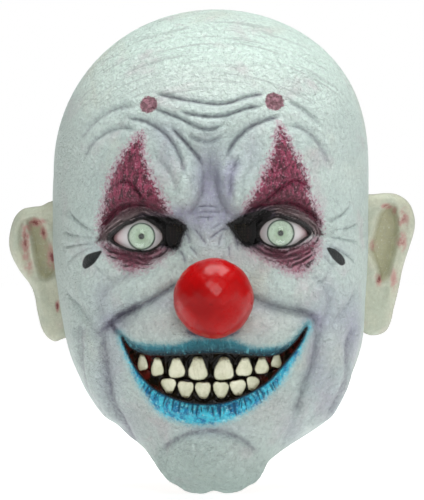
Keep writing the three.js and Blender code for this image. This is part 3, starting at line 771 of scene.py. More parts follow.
def paint_fields(u, w):
    """Signed distances to the make-up's outlines."""
    fields = {}
    for name, outline in MAKE_UP.items():
        fields[name] = np.maximum(region(u, w, outline[-1]), region(u, w, outline[1]))
    fields["upper_lip"] = region(u, w, UPPER_LIP)
    fields["lower_lip"] = region(u, w, LOWER_LIP)
    return fields


def rim_field(base):
    """Distance above the neck's rim, negative for what is cut off."""
    path = np.array(RIM, float)
    gap, _ = path_field(base[:, 1], base[:, 2], path)
    return np.where(base[:, 2] > 60, 50.0, gap)


def slit_field(base):
    """Distance from the slit up the nape and its round end, negative for what is cut away."""
    behind = base[:, 1] > 0
    slot = np.where(base[:, 2] < SLIT_TOP, np.abs(base[:, 0]) - SLIT_HALF, 50.0)
    hole = np.hypot(base[:, 0], base[:, 2] - SLIT_TOP) - SLIT_HOLE
    return np.where(behind, np.minimum(slot, hole), 50.0)


def raised(base, normal):
    """The skin's outer face: the base with its forms, creases, lips, lids and wrinkles."""
    u, w, fields = skin_fields(base)
    facing = -normal[:, 1]
    height, wash, haze = crease_relief(u, w)
    height += blob_height(u, w, FORMS)
    height += leather_relief(u, w)
    attributes = paint_fields(u, w)
    wrinkle = strands(u, w, fields, attributes)
    height += lip_relief(u, w, fields)
    cracks = lip_cracks(u, w)
    height -= 0.9 * cracks
    height *= smoothstep(0.12, 0.45, facing)
    for side in (-1, 1):
        ball, share = eye_blend(side, u, w, fields)
        height = height * (1 - share) + (base[:, 1] - ball) * share
    ahead = smoothstep(0.45, 0.8, facing)[:, None]
    direction = normal * (1 - ahead) + np.array([0.0, -1.0, 0.0]) * ahead
    direction /= np.linalg.norm(direction, axis=1)[:, None]
    height += 0.5 * wrinkle
    cleft = 1.9 * bell(u, 1.5, 5) * smoothstep(-38, -50, base[:, 2])
    height = height - cleft * (base[:, 1] < -50)
    attributes.update(strand=wrinkle, wash=wash, haze=haze)
    # Lilac tints, with one patch of painted shade.
    attributes["lilac"] = np.clip(blob_height(u, w, LILAC_AND_SHADE), 0, 0.9)
    attributes["rose"] = np.clip(blob_height(u, w, ROSE), 0, 0.9)
    x, z = base[:, 0], base[:, 2] - CORE[2]
    attributes["arc"] = np.hypot(x, z)
    attributes["bearing"] = np.arctan2(x, np.maximum(z, 1.0))
    # The crown is painted lighter: painted light from overhead.
    attributes["crown"] = 0.8 * smoothstep(165, 225, base[:, 2])
    towards_face = 0.4 + 0.6 * smoothstep(0, -60, base[:, 1])
    attributes["brushed"] = smoothstep(178, 196, base[:, 2]) * towards_face
    attributes["crack"] = cracks
    attributes["mouth"] = fields["mouth"]
    attributes["opening"] = np.maximum(fields["opening-1"], fields["opening1"])
    return base + direction * height[:, None], attributes


def cut_head():
    """The base head with its rim, slit, mouth and eye openings cut out."""
    base, faces, place = head_grid()
    points = np.hstack([base, place])
    points, faces = clip(points, faces, rim_field(points[:, :3]))
    points, faces = clip(points, faces, slit_field(points[:, :3]))
    for name in ("mouth", "opening-1", "opening1"):
        points, faces = clip(points, faces, -skin_fields(points[:, :3])[2][name])
    for side in (-1, 1):
        points, faces = clip(points, faces, 1.0 - skin_fields(points[:, :3])[2][f"corner{side}"])
    return points, faces


def inside_of(outer, solid, rim):
    """The skin's inner face: a smoother copy of the outer face, the wall's thickness behind it."""
    fixed = np.zeros(len(outer), bool)
    fixed[rim.ravel()] = True
    soft = smoothed(outer, solid, 6, fixed)
    inner = soft - WALL * vertex_normals(soft, solid)
    outward = vertex_normals(outer, solid)
    short = np.maximum(LEAST_WALL - ((outer - inner) * outward).sum(1), 0)
    return inner - outward * short[:, None]


def skin_mesh():
    """The whole shell: its points, triangles, material numbers, attributes and texture places."""
    points, faces = cut_head()
    first, joined = weld(points)
    faces = faces[is_whole(joined[faces])]
    base, place = points[:, :3], points[:, 3:5]
    solid = joined[faces]
    outer, attributes = raised(base[first], vertex_normals(base[first], solid))
    rim = boundary_edges(solid)
    inner = inside_of(outer, solid, rim)
    n = len(outer)
    back = solid[:, ::-1] + n
    a, b = rim[:, 0], rim[:, 1]
    strip = np.vstack([np.column_stack([b, a, a + n]), np.column_stack([b, a + n, b + n])])
    everything = np.vstack([solid, back, strip])
    # The outside fills most of the texture, and the inside a band below it.
    uv = np.column_stack([place[:, 0], 0.16 + 0.83 * place[:, 1]])
    inside_uv = np.column_stack([place[:, 0], 0.01 + 0.13 * place[:, 1]])
    strip_uv = np.vstack([uv[first], inside_uv[first]])[strip]
    parts = uv[faces], inside_uv[faces[:, ::-1]], strip_uv
    corner_uv = np.vstack([part.reshape(-1, 2) for part in parts])
    front_edge = (outer[a, 1] < -60) & (outer[a, 2] > -15)
    edge_material = np.where(np.concatenate([front_edge, front_edge]), 0, 1)
    face_material = np.concatenate([np.zeros(len(solid)), np.ones(len(back)), edge_material])
    doubled = {key: np.concatenate([v, v]) for key, v in attributes.items()}
    return np.vstack([outer, inner]), everything, face_material, doubled, corner_uv


# ---------------------------------------------------------------- materials
class Graph:
    """A short way to write a node material. Every method returns an output socket."""

    def __init__(self, name):
        self.material = bpy.data.materials.new(name)
        self.material.use_nodes = True
        self.tree = self.material.node_tree
        self.shader = self.tree.nodes["Principled BSDF"]
        self.coords = self.tree.nodes.new("ShaderNodeTexCoord").outputs["Object"]

    def put(self, socket, value):
        """Links or sets a socket."""
        if isinstance(value, bpy.types.NodeSocket):
            self.tree.links.new(value, socket)
        elif isinstance(value, tuple) and len(value) == 3 and socket.type == "RGBA":
            socket.default_value = (*value, 1.0)
        else:
            socket.default_value = value

    def set(self, **values):
        """Sets the shader's own sockets and returns the material."""
        for key, value in values.items():
            self.put(self.shader.inputs[key.replace("_", " ")], value)
        return self.material

    def attribute(self, name):
        """A number that each point of the mesh carries."""
        node = self.tree.nodes.new("ShaderNodeAttribute")
        node.attribute_name = name
        return node.outputs["Fac"]

    def stretched(self, scale):
        """Object coordinates, scaled along each axis."""
        node = self.tree.nodes.new("ShaderNodeMapping")
        self.put(node.inputs["Vector"], self.coords)
        node.inputs["Scale"].default_value = scale
        return node.outputs["Vector"]

    def noise(self, scale, detail=3.0, roughness=0.55, distortion=0.0, vector=None):
        """Cloudy noise from 0 to 1."""
        node = self.tree.nodes.new("ShaderNodeTexNoise")
        self.put(node.inputs["Vector"], vector or self.coords)
        node.inputs["Scale"].default_value = scale
        node.inputs["Detail"].default_value = detail
        node.inputs["Roughness"].default_value = roughness
        node.inputs["Distortion"].default_value = distortion
        return node.outputs["Fac"]

    def math(self, operation, a, b=0.0, c=0.0):
        """One sum on two or three numbers."""
        node = self.tree.nodes.new("ShaderNodeMath")
        node.operation = operation
        for socket, value in zip(node.inputs, (a, b, c)):
            self.put(socket, value)
        return node.outputs[0]

    def span(self, value, low, high, to_low=0.0, to_high=1.0):
        """Value taken smoothly from one range to another."""
        node = self.tree.nodes.new("ShaderNodeMapRange")
        node.interpolation_type = "SMOOTHSTEP"
        limits = {"From Min": low, "From Max": high, "To Min": to_low, "To Max": to_high}
        for key, number in limits.items():
            node.inputs[key].default_value = number
        self.put(node.inputs["Value"], value)
        return node.outputs["Result"]

    def mix(self, share, a, b):
        """Colour a turned towards colour b."""
        node = self.tree.nodes.new("ShaderNodeMix")
        node.data_type = "RGBA"
        self.put(node.inputs["Factor"], share)
        self.put(node.inputs[6], a)
        self.put(node.inputs[7], b)
        return node.outputs[2]

    def tint(self, colour, value, low, high, share, tinted):
        """The colour, turned by up to share towards another as value goes from low to high."""
        return self.mix(self.span(value, low, high, 0, share), colour, tinted)

    def separate(self, axis):
        """One of the object coordinates, X, Y or Z."""
        node = self.tree.nodes.new("ShaderNodeSeparateXYZ")
        self.put(node.inputs[0], self.coords)
        return node.outputs[axis]

    def ramp(self, value, *stops):
        """Colours by value, from stops of place and colour."""
        node = self.tree.nodes.new("ShaderNodeValToRGB")
        elements = node.color_ramp.elements
        while len(elements) < len(stops):
            elements.new(0.5)
        for element, (place, colour) in zip(elements, stops):
            element.position = place
            element.color = (*colour, 1.0)
        self.put(node.inputs["Fac"], value)
        return node.outputs["Color"]

    def bump(self, height, distance, strength=1.0, under=None):
        """A normal from a height, over another normal."""
        node = self.tree.nodes.new("ShaderNodeBump")
        node.inputs["Strength"].default_value = strength
        node.inputs["Distance"].default_value = distance
        self.put(node.inputs["Height"], height)
        if under is not None:
            self.put(node.inputs["Normal"], under)
        return node.outputs["Normal"]


def skin_colour(g, fine):
    """Mint-white latex, mottled, with lilac in the creases, brush lines over the forehead, a
    painted light crown and painted shade low down and at the sides.
    """
    patch = g.noise(26, 4)
    tint, rosy = g.noise(14, 3, distortion=0.6), g.noise(33, 4, distortion=0.4)
    colour = g.mix(g.span(patch, 0.35, 0.68), (0.655, 0.78, 0.725), (0.56, 0.68, 0.64))
    # Painted light: the crown turned lighter and greener.
    colour = g.mix(g.attribute("crown"), colour, (0.70, 0.87, 0.78))
    colour = g.tint(colour, tint, 0.54, 0.70, 0.55, (0.66, 0.68, 0.57))
    colour = g.tint(colour, rosy, 0.52, 0.70, 0.55, (0.63, 0.57, 0.59))
    colour = g.mix(g.attribute("lilac"), colour, (0.385, 0.385, 0.52))
    rose = g.math("MULTIPLY", g.attribute("rose"), g.span(patch, 0.3, 0.65, 0.35, 0.9))
    colour = g.mix(rose, colour, (0.57, 0.50, 0.51))
    colour = g.tint(colour, fine, 0.38, 0.70, 0.46, (0.38, 0.45, 0.44))
    colour = g.tint(colour, g.noise(560, 3, 0.7), 0.53, 0.74, 0.45, (0.80, 0.90, 0.85))
    haze = g.math("MULTIPLY", g.attribute("haze"), g.span(fine, 0.2, 0.7, 0.6, 1.0))
    colour = g.tint(colour, haze, 0.0, 1.3, 0.6, (0.33, 0.345, 0.43))
    across = g.separate("X")
    # Painted shade: darker towards the bottom of the chin and jaw, and towards both sides, most on
    # the mask's right.
    colour = g.tint(colour, g.separate("Z"), -0.012, -0.050, 0.62, (0.34, 0.45, 0.41))
    colour = g.tint(colour, across, 0.074, 0.102, 0.35, (0.45, 0.55, 0.51))
    colour = g.tint(colour, across, -0.070, -0.100, 0.72, (0.41, 0.49, 0.455))
    wash = g.math("MULTIPLY", g.attribute("wash"), g.span(fine, 0.2, 0.7, 0.55, 1.0))
    return g.tint(colour, wash, 0.1, 1.5, 0.9, (0.10, 0.085, 0.135))


def wine_paint(g, fine):
    """Wine red, streaky, with dark flecks and pink breaking through."""
    streak = g.noise(420, 4, 0.65, 0.8, vector=g.stretched((1.0, 1.0, 0.45)))
    wine = g.mix(g.span(streak, 0.38, 0.62), (0.050, 0.001, 0.010), (0.33, 0.040, 0.100))
    wine = g.tint(wine, g.noise(700, 3, 0.7), 0.56, 0.70, 0.85, (0.62, 0.30, 0.40))
    wine = g.tint(wine, g.attribute("lids"), -13.0, -1.0, 0.55, (0.045, 0.006, 0.013))
    return g.tint(wine, fine, 0.55, 0.72, 0.8, (0.025, 0.004, 0.010))


def painted_latex():
    """Mint-white airbrushed latex with the clown's make-up."""
    g = Graph("painted_latex")
    fine = g.noise(430, 4, 0.62)
    arcs = g.tree.nodes.new("ShaderNodeCombineXYZ")
    g.put(arcs.inputs[0], g.math("MULTIPLY", g.attribute("arc"), 0.42))
    g.put(arcs.inputs[1], g.math("MULTIPLY", g.attribute("bearing"), 2.6))
    streaks = g.noise(1, 4, 0.6, 0.15, vector=arcs.outputs[0])
    brushed = g.math("MULTIPLY", g.span(streaks, 0.52, 0.66), g.attribute("brushed"))
    colour = g.mix(g.math("MULTIPLY", brushed, 0.62), skin_colour(g, fine), (0.38, 0.44, 0.42))
    wine = wine_paint(g, fine)
    grain = g.math("MULTIPLY_ADD", g.noise(520, 4, 0.75), 9.0, -4.5)

    def painted(name, low, high, share=1.0, rough=1.0):
        edge = g.math("MULTIPLY_ADD", grain, rough, g.attribute(name))
        return g.span(edge, low, high, 0, share)

    colour = g.mix(painted("triangle", -3.6, 0.5, 0.7, 2.0), colour, (0.52, 0.28, 0.37))
    colour = g.mix(painted("triangle", -0.6, 2.6, 1.0, 2.2), colour, wine)
    colour = g.mix(painted("bag", -3.6, 1.0, 0.65, 1.8), colour, (0.50, 0.28, 0.36))
    colour = g.mix(painted("bag", 0.2, 4.5, 0.92, 1.8), colour, wine)
    dot = g.mix(g.span(fine, 0.42, 0.60), (0.13, 0.012, 0.035), (0.36, 0.14, 0.19))
    colour = g.mix(painted("dot", -0.3, 0.7, 0.92, 0.45), colour, dot)

    # The bags' wrinkles: ridges painted lighter as painted highlight, grooves painted darker as
    # painted shade.
    ridge = g.attribute("strand")
    for far, share, tinted in ((0.8, 0.75, (0.50, 0.27, 0.33)), (-0.8, 0.9, (0.02, 0.003, 0.007))):
        strand = g.span(ridge, math.copysign(0.1, far), far, 0, share)
        colour = g.mix(g.math("MULTIPLY", strand, painted("bag", -2.0, 2.0)), colour, tinted)
    lid = g.ramp(
        g.math("MULTIPLY", g.attribute("opening"), -0.1),
        (0.0, (0.004, 0.003, 0.003)),
        (0.23, (0.008, 0.006, 0.006)),
        (0.36, (0.185, 0.138, 0.140)),
        (0.56, (0.150, 0.095, 0.102)),
        (0.75, (0.070, 0.026, 0.036)),
        (0.95, (0.085, 0.030, 0.042)),
    )
    # The lids' wrinkles: ridges painted lighter as painted highlight, grooves painted darker as
    # painted shade.
    lid = g.tint(lid, ridge, 0.15, 0.7, 0.9, (0.42, 0.33, 0.34))
    lid = g.tint(lid, ridge, -0.1, -0.8, 0.85, (0.012, 0.007, 0.008))
    lid = g.tint(lid, g.noise(300, 4), 0.5, 0.74, 0.35, (0.025, 0.014, 0.016))
    colour = g.mix(painted("lids", -1.0, 1.6, 0.97, 0.5), colour, lid)
    colour = g.mix(painted("black", -4.0, 0.5, 0.55, 0.8), colour, (0.06, 0.05, 0.08))
    colour = g.mix(painted("black", -0.9, 0.9, 1.0, 0.45), colour, (0.002, 0.002, 0.002))
    colour = g.tint(colour, g.attribute("opening"), -1.5, -0.7, 1.0, (0.006, 0.004, 0.004))

    inward = g.span(g.attribute("mouth"), -6.5, -1.2)
    teal = g.mix(inward, (0.045, 0.30, 0.38), (0.004, 0.045, 0.07))
    brush = g.noise(300, 4, 0.65, 0.6, vector=g.stretched((1.3, 1.3, 0.45)))
    teal = g.tint(teal, brush, 0.52, 0.7, 0.65, (0.010, 0.065, 0.10))
    teal = g.tint(teal, brush, 0.46, 0.30, 0.7, (0.16, 0.58, 0.66))
    colour = g.mix(painted("upper_lip", -4.0, 1.0, 0.6, 0.7), colour, (0.16, 0.44, 0.48))
    colour = g.mix(painted("upper_lip", -1.6, 1.6, 1.0, 0.6), colour, teal)
    down = g.noise(300, 4, 0.65, 0.5, vector=g.stretched((1.0, 1.0, 0.33)))
    sky = g.mix(g.span(down, 0.36, 0.60), (0.004, 0.20, 0.45), (0.07, 0.68, 0.88))
    sky = g.tint(sky, g.noise(560, 3, 0.7), 0.54, 0.70, 0.8, (0.50, 0.95, 1.0))
    ragged = g.math("MULTIPLY_ADD", grain, 0.10, g.attribute("crack"))
    sky = g.tint(sky, ragged, 0.2, 0.75, 0.9, (0.003, 0.075, 0.17))
    sky = g.tint(sky, g.attribute("mouth"), -2.1, -0.8, 1.0, (0.006, 0.085, 0.16))
    colour = g.mix(painted("lower_lip", -4.5, 1.0, 0.55, 0.9), colour, (0.22, 0.66, 0.74))
    colour = g.mix(painted("lower_lip", -1.8, 1.6, 1.0, 0.8), colour, sky)
    colour = g.tint(colour, g.attribute("mouth"), -1.3, -0.3, 1.0, (0.004, 0.008, 0.012))
    colour = g.mix(painted("tear", -0.3, 0.5, 1.0, 0.06), colour, (0.006, 0.010, 0.010))

    wet_lips = g.span(g.attribute("mouth"), -3.5, -1.0)
    wet = g.math("MAXIMUM", g.span(g.attribute("lids"), -0.5, 1.5), wet_lips)
    roughness = g.math("MULTIPLY_ADD", wet, -0.25, g.span(fine, 0.3, 0.7, 0.38, 0.54))
    pores = g.bump(g.noise(760, 3, 0.65), 0.0011, 1.0)
    folds = g.bump(g.noise(270, 5, 0.66, 0.6), 0.0034, 0.9, pores)
    lines = g.bump(g.math("MULTIPLY", streaks, g.attribute("brushed")), 0.0014, 0.5, folds)
    return g.set(Base_Color=colour, Roughness=roughness, Normal=lines)


def raw_latex():
    """The unpainted inside and the cut rim."""
    g = Graph("raw_latex")
    cloud = g.noise(45, 4)
    colour = g.mix(g.span(cloud, 0.35, 0.7), (0.62, 0.52, 0.34), (0.50, 0.40, 0.25))
    colour = g.tint(colour, g.noise(420, 3), 0.55, 0.75, 0.3, (0.42, 0.33, 0.2))
    ripple = g.bump(g.noise(120, 4), 0.0008, 0.6)
    return g.set(Base_Color=colour, Roughness=g.span(cloud, 0.3, 0.7, 0.55, 0.75), Normal=ripple)


def ear_latex():
    """Cream-green latex, olive and darkened in the bowl as painted shade, and flushed pink to red
    in the hollows.
    """
    g = Graph("ear_latex")
    fine = g.noise(430, 4, 0.62)
    colour = g.mix(g.span(g.noise(45, 4), 0.38, 0.65), (0.46, 0.475, 0.365), (0.39, 0.43, 0.34))
    colour = g.tint(colour, g.noise(70, 3), 0.52, 0.7, 0.5, (0.47, 0.42, 0.36))
    # The bowl: its olive tone, darkened as painted shade in the hollow.
    colour = g.mix(g.math("MULTIPLY", g.attribute("bowl"), 0.8), colour, (0.31, 0.30, 0.17))
    colour = g.tint(colour, fine, 0.4, 0.72, 0.4, (0.30, 0.31, 0.24))
    colour = g.tint(colour, g.noise(560, 3, 0.7), 0.53, 0.74, 0.4, (0.62, 0.65, 0.54))
    patches = g.span(g.noise(210, 4, 0.65), 0.34, 0.62, 0.35, 1.15)
    flush = g.math("MULTIPLY", g.attribute("hollow"), patches)
    colour = g.tint(colour, flush, 0.05, 0.6, 0.8, (0.42, 0.22, 0.20))
    colour = g.tint(colour, flush, 0.5, 1.1, 0.9, (0.17, 0.022, 0.024))
    colour = g.tint(colour, g.attribute("edge"), 1.6, 0.0, 0.35, (0.25, 0.25, 0.21))
    pores = g.bump(g.noise(800, 3, 0.6), 0.0004, 0.7)
    folds = g.bump(g.noise(220, 5, 0.6, 0.4), 0.0012, 0.5, pores)
    return g.set(Base_Color=colour, Roughness=g.span(fine, 0.3, 0.7, 0.44, 0.6), Normal=folds)


def nose_red():
    """Red under a gloss varnish with a slightly uneven surface."""
    g = Graph("nose_red")
    cloud = g.noise(60, 4)
    colour = g.mix(g.span(cloud, 0.35, 0.7), (0.43, 0.0015, 0.002), (0.31, 0.001, 0.0015))
    colour = g.tint(colour, g.noise(420, 4), 0.56, 0.78, 0.5, (0.20, 0.001, 0.002))
    uneven = g.bump(g.noise(140, 4, 0.6), 0.0009, 0.35)
    skin = g.bump(g.noise(600, 2), 0.0002, 0.4, uneven)
    return g.set(
        Base_Color=colour,
        Roughness=g.span(cloud, 0.3, 0.7, 0.24, 0.36),
        Normal=skin,
        IOR=1.26,
        Coat_Weight=0.12,
        Coat_Roughness=0.08,
    )


def sclera():
    """Glossy off-white, pinker towards the lids, with faint veins."""
    g = Graph("sclera")
    reach = g.attribute("off_axis")
    veins = g.math("ABSOLUTE", g.math("SUBTRACT", g.noise(160, 5, 0.6, 1.2), 0.5))
    colour = g.mix(g.span(reach, 9, 17), (0.58, 0.57, 0.57), (0.52, 0.37, 0.39))
    colour = g.tint(colour, reach, 14, 20, 0.8, (0.32, 0.10, 0.11))
    line = g.math("MULTIPLY", g.span(veins, 0.018, 0.0), g.span(reach, 10, 18))
    colour = g.mix(g.math("MULTIPLY", line, 0.6), colour, (0.42, 0.05, 0.06))
    return g.set(
        Base_Color=colour,
        Roughness=g.span(g.noise(300), 0.3, 0.7, 0.1, 0.18),
        Normal=g.bump(g.noise(220, 3), 0.0003, 0.2),
        Coat_Weight=0.6,
        Coat_Roughness=0.04,
    )


def iris_green():
    """Pale grey-green with a dark ring, and a small soft-edged pupil."""
    g = Graph("iris_green")
    radius = g.attribute("off_axis")
    spokes = g.noise(1, 3, vector=g.stretched((700, 700, 700)))
    colour = g.ramp(
        g.math("DIVIDE", radius, IRIS_RADIUS),
        (0.0, (0.004, 0.008, 0.006)),
        (0.15, (0.006, 0.012, 0.008)),
        (0.24, (0.46, 0.60, 0.42)),
        (0.55, (0.76, 0.90, 0.74)),
        (0.82, (0.84, 0.95, 0.80)),
        (0.91, (0.20, 0.28, 0.22)),
        (1.0, (0.010, 0.020, 0.018)),
    )
    flecks = g.math("MULTIPLY", g.span(spokes, 0.45, 0.75, 0, 0.4), g.span(radius, 2.0, 3.0))
    colour = g.mix(flecks, colour, (0.36, 0.46, 0.34))
    roughness = g.span(spokes, 0.3, 0.7, 0.35, 0.5)
    return g.set(Base_Color=colour, Roughness=roughness, Normal=g.bump(spokes, 0.0002, 0.4))


def clear_lens():
    """Clear plastic, very slightly uneven."""
    g = Graph("clear_lens")
    return g.set(
        Base_Color=(0.96, 1.0, 0.98),
        Roughness=g.span(g.noise(120), 0.3, 0.7, 0.01, 0.04),
        Transmission_Weight=1.0,
        IOR=1.38,
    )


def mesh_black():
    """Matt black nylon."""
    g = Graph("mesh_black")
    grain = g.noise(2500, 2)
    colour = g.mix(g.span(grain, 0.4, 0.7), (0.003, 0.003, 0.003), (0.008, 0.008, 0.008))
    roughness = g.span(grain, 0.3, 0.7, 0.7, 0.9)
    return g.set(Base_Color=colour, Roughness=roughness, Normal=g.bump(grain, 0.0001, 0.5))


def gum_varnish():
    """Near-black gums under gloss varnish, dark red towards the mouth's corners."""
    g = Graph("gum_varnish")
    cloud = g.noise(240, 4)
    colour = g.mix(g.span(cloud, 0.4, 0.7), (0.003, 0.002, 0.001), (0.012, 0.008, 0.003))
    red = g.math("MULTIPLY", g.attribute("red"), g.span(g.noise(120, 3), 0.4, 0.6))
    colour = g.mix(red, colour, (0.16, 0.012, 0.010))
    return g.set(
        Base_Color=colour,
        Roughness=g.span(cloud, 0.3, 0.7, 0.16, 0.26),
        Normal=g.bump(g.noise(260, 4, 0.6, 0.6), 0.0018, 0.6),
        IOR=1.25,
        Coat_Weight=0.45,
        Coat_Roughness=0.03,
        Coat_IOR=1.4,
    )


def enamel():
    """Cream teeth, stained brown-black at the gum and darkened round their edges as painted shade.
    """
    g = Graph("enamel")
    fine = g.noise(520, 4)
    colour = g.mix(g.span(g.noise(140, 3), 0.35, 0.7), (0.84, 0.85, 0.64), (0.66, 0.68, 0.47))
    colour = g.tint(colour, fine, 0.5, 0.75, 0.35, (0.46, 0.44, 0.26))
    upright = g.noise(520, 3, 0.6, vector=g.stretched((1.0, 1.0, 0.25)))
    colour = g.tint(colour, upright, 0.5, 0.72, 0.45, (0.56, 0.56, 0.36))
    ragged = g.math("SUBTRACT", g.noise(380, 4, 0.7), 0.5)
    stain_and_shade = g.math("MULTIPLY_ADD", ragged, 1.6, g.attribute("stain_and_shade"))
    colour = g.tint(colour, stain_and_shade, 0.25, 0.75, 0.75, (0.13, 0.11, 0.045))
    colour = g.tint(colour, stain_and_shade, 0.7, 1.05, 1.0, (0.012, 0.009, 0.004))
    return g.set(
        Base_Color=colour,
        Roughness=g.span(fine, 0.3, 0.7, 0.2, 0.34),
        Normal=g.bump(upright, 0.0009, 0.7, g.bump(g.noise(600, 3), 0.0005, 0.6)),
        Coat_Weight=0.9,
        Coat_Roughness=0.03,
    )


def stage_white():
    """Plain pale paper, which glows white away from the grey pool of painted shade in front of the
    mask.
    """
    g = Graph("stage_white")
    grain = g.noise(60, 2)
    colour = g.mix(g.span(grain, 0.3, 0.7), (0.42, 0.42, 0.42), (0.45, 0.45, 0.45))
    across, ahead = g.separate("X"), g.math("ADD", g.separate("Y"), POOL_AHEAD)
    away = g.math("SQRT", g.math("ADD", g.math("POWER", across, 2), g.math("POWER", ahead, 2)))
    colour = g.tint(colour, away, POOL_RADIUS, POOL_EDGE, 1.0, (0.9, 0.9, 0.9))
    glow = g.span(away, POOL_RADIUS, POOL_FADE, POOL_GLOW, FLOOR_GLOW)
    glow = g.math("MAXIMUM", glow, g.span(g.separate("Y"), *POOL_BACK, POOL_GLOW, FLOOR_GLOW))
    white = (1.0, 1.0, 1.0)
    return g.set(Base_Color=colour, Roughness=0.9, Emission_Color=white, Emission_Strength=glow)


# ---------------------------------------------------------------- the other pieces
def sheet_faces(rows, columns, wrap=False, start=0):
    """Quads between rows of points, each row closed on itself if wrap."""
    along = columns if wrap else columns - 1
    i, j = np.meshgrid(np.arange(rows - 1), np.arange(along), indexing="ij")
    k = (j + 1) % columns
    row, above = i * columns, (i + 1) * columns
    quads = np.stack([row + j, row + k, above + k, above + j], -1)
    return quads.reshape(-1, 4) + start


def as_triangles(quads):
    """Each quad as two triangles, without any that has no area."""
    tri = np.vstack([quads[:, [0, 1, 2]], quads[:, [0, 2, 3]]])
    return tri[is_whole(tri)]


def box_mm(node):
    """A CAD node's lowest and highest corners in millimetres."""
    low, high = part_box(node)
    return np.array(low) / MM, np.array(high) / MM


def face_y(x, z):
    """The front of the face under its finer detail."""
    x, z = np.broadcast_arrays(np.asarray(x, float), np.asarray(z, float))
    return front_y(x, z) - blob_height(x.ravel(), z.ravel(), FORMS).reshape(x.shape)


def turned(name, profile, centre, segments, materials, sharp=35):
    """A piece turned round an axis along -Y, from rows of radius and height towards -Y."""
    angle = np.linspace(0, 2 * math.pi, segments, endpoint=False)
    profile = np.asarray(profile, float)
    radius, height = profile[:, 0][:, None], profile[:, 1][:, None]
    points = np.empty((len(profile), segments, 3))
    points[..., 0] = centre[0] + radius * np.cos(angle)
    points[..., 1] = centre[1] - height
    points[..., 2] = centre[2] + radius * np.sin(angle)
    off_axis = {"off_axis": np.repeat(profile[:, 0], segments)}
    faces = sheet_faces(len(profile), segments, wrap=True)
    return welded_piece(name, points.reshape(-1, 3), faces, materials, off_axis, sharp)


def welded_piece(name, points, quads, materials, attributes, sharp):
    """A piece whose coincident points are joined first."""
    first, joined = weld(points)
    attributes = {key: values[first] for key, values in attributes.items()}
    tri = as_triangles(joined[quads])
    return make_piece(name, points[first], tri, materials, attributes=attributes, sharp=sharp)


def arc(radius, from_radius, to_radius, steps):
    """Rows of radius and height along a ball's surface, between two radii from its axis."""
    turn = np.linspace(math.asin(from_radius / radius), math.asin(to_radius / radius), steps)
    return [(radius * math.sin(t), radius * math.cos(t)) for t in turn]


def build_eye(side_name, side, looks):
    """A hollow eyeball with a seat for the iris, the disc of the iris and the lens over it."""
    centre = EYES[side]
    dome = arc(EYE_RADIUS, EYE_RADIUS, 8.9, 40) + [(8.6, 19.7), (8.5, 18.6), (EYE_HOLE, 18.5)]
    dome += arc(EYE_INSIDE, EYE_HOLE, EYE_INSIDE, 20) + [(EYE_RADIUS, 0)]
    piece = turned(f"{side_name}_eyeball", dome, centre, 96, [looks["sclera"]])
    settle(piece, "sclera", f"{side_name}_eye_dome")
    disc = [(NEAR_AXIS, IRIS_BACK), (IRIS_RADIUS, IRIS_BACK), (IRIS_RADIUS, IRIS_BACK + 0.9)]
    disc += [(r, IRIS_BACK + 1) for r in np.linspace(IRIS_RADIUS - 0.1, NEAR_AXIS, 34)]
    disc += [(NEAR_AXIS, IRIS_BACK)]
    piece = turned(f"{side_name}_iris_disc", disc, centre, 72, [looks["iris"]])
    settle(piece, "iris", f"{side_name}_iris")
    drop = LENS_BACK - math.sqrt(LENS_CURVE**2 - IRIS_RADIUS**2)
    lens = [(NEAR_AXIS, LENS_BACK), (IRIS_RADIUS, LENS_BACK)]
    lens += [(r, h + drop) for r, h in arc(LENS_CURVE, IRIS_RADIUS, NEAR_AXIS, 24)]
    lens += [(NEAR_AXIS, LENS_BACK)]
    piece = turned(f"{side_name}_lens", lens, centre, 72, [looks["lens"]])
    settle(piece, "cornea", f"{side_name}_cornea")


def build_vision_mesh(side_name, looks):
    """A net of woven strands behind the inner corner of the eye."""
    low, high = box_mm(f"{side_name}_vision_mesh")
    centre, half = (low + high) / 2, (high - low) / 2
    pitch, thick, around, every = 0.9, 0.37, 6, 0.24  # thick is a strand's radius
    parts, faces, start = [], [], 0
    for along, across in ((0, 2), (2, 0)):
        number = int(half[across] * 2 / pitch)
        for i in range(number):
            off = (i - (number - 1) / 2) * pitch
            reach = half[along] * math.sqrt(max(1 - (off / half[across]) ** 2, 0.02))
            t = np.arange(-reach, reach, every)
            phase = math.pi * (i + (0 if along == 0 else 1))  # over and under by turns
            sway = 0.18 * np.cos(math.pi * t / pitch + phase)
            turn = np.linspace(0, 2 * math.pi, around, endpoint=False)
            ring = np.zeros((len(t), around, 3))
            ring[:, :, along] = centre[along] + t[:, None]
            ring[:, :, across] = centre[across] + off + thick * np.cos(turn)
            ring[:, :, 1] = centre[1] + sway[:, None] + thick * np.sin(turn)
            parts.append(ring.reshape(-1, 3))
            faces.append(as_triangles(sheet_faces(len(t), around, wrap=True, start=start)))
            for row in (0, len(t) - 1):
                base = start + row * around
                fan = [(base, base + k, base + k + 1) for k in range(1, around - 1)]
                faces.append(np.array(fan if row else [f[::-1] for f in fan]))
            start += len(t) * around
    piece = make_piece(f"{side_name}_net", np.vstack(parts), np.vstack(faces), [looks["net"]])
    settle(piece, "vision_mesh", f"{side_name}_vision_mesh")


NOSE_CUT = -0.79  # the flat back's height, as a share of the radius


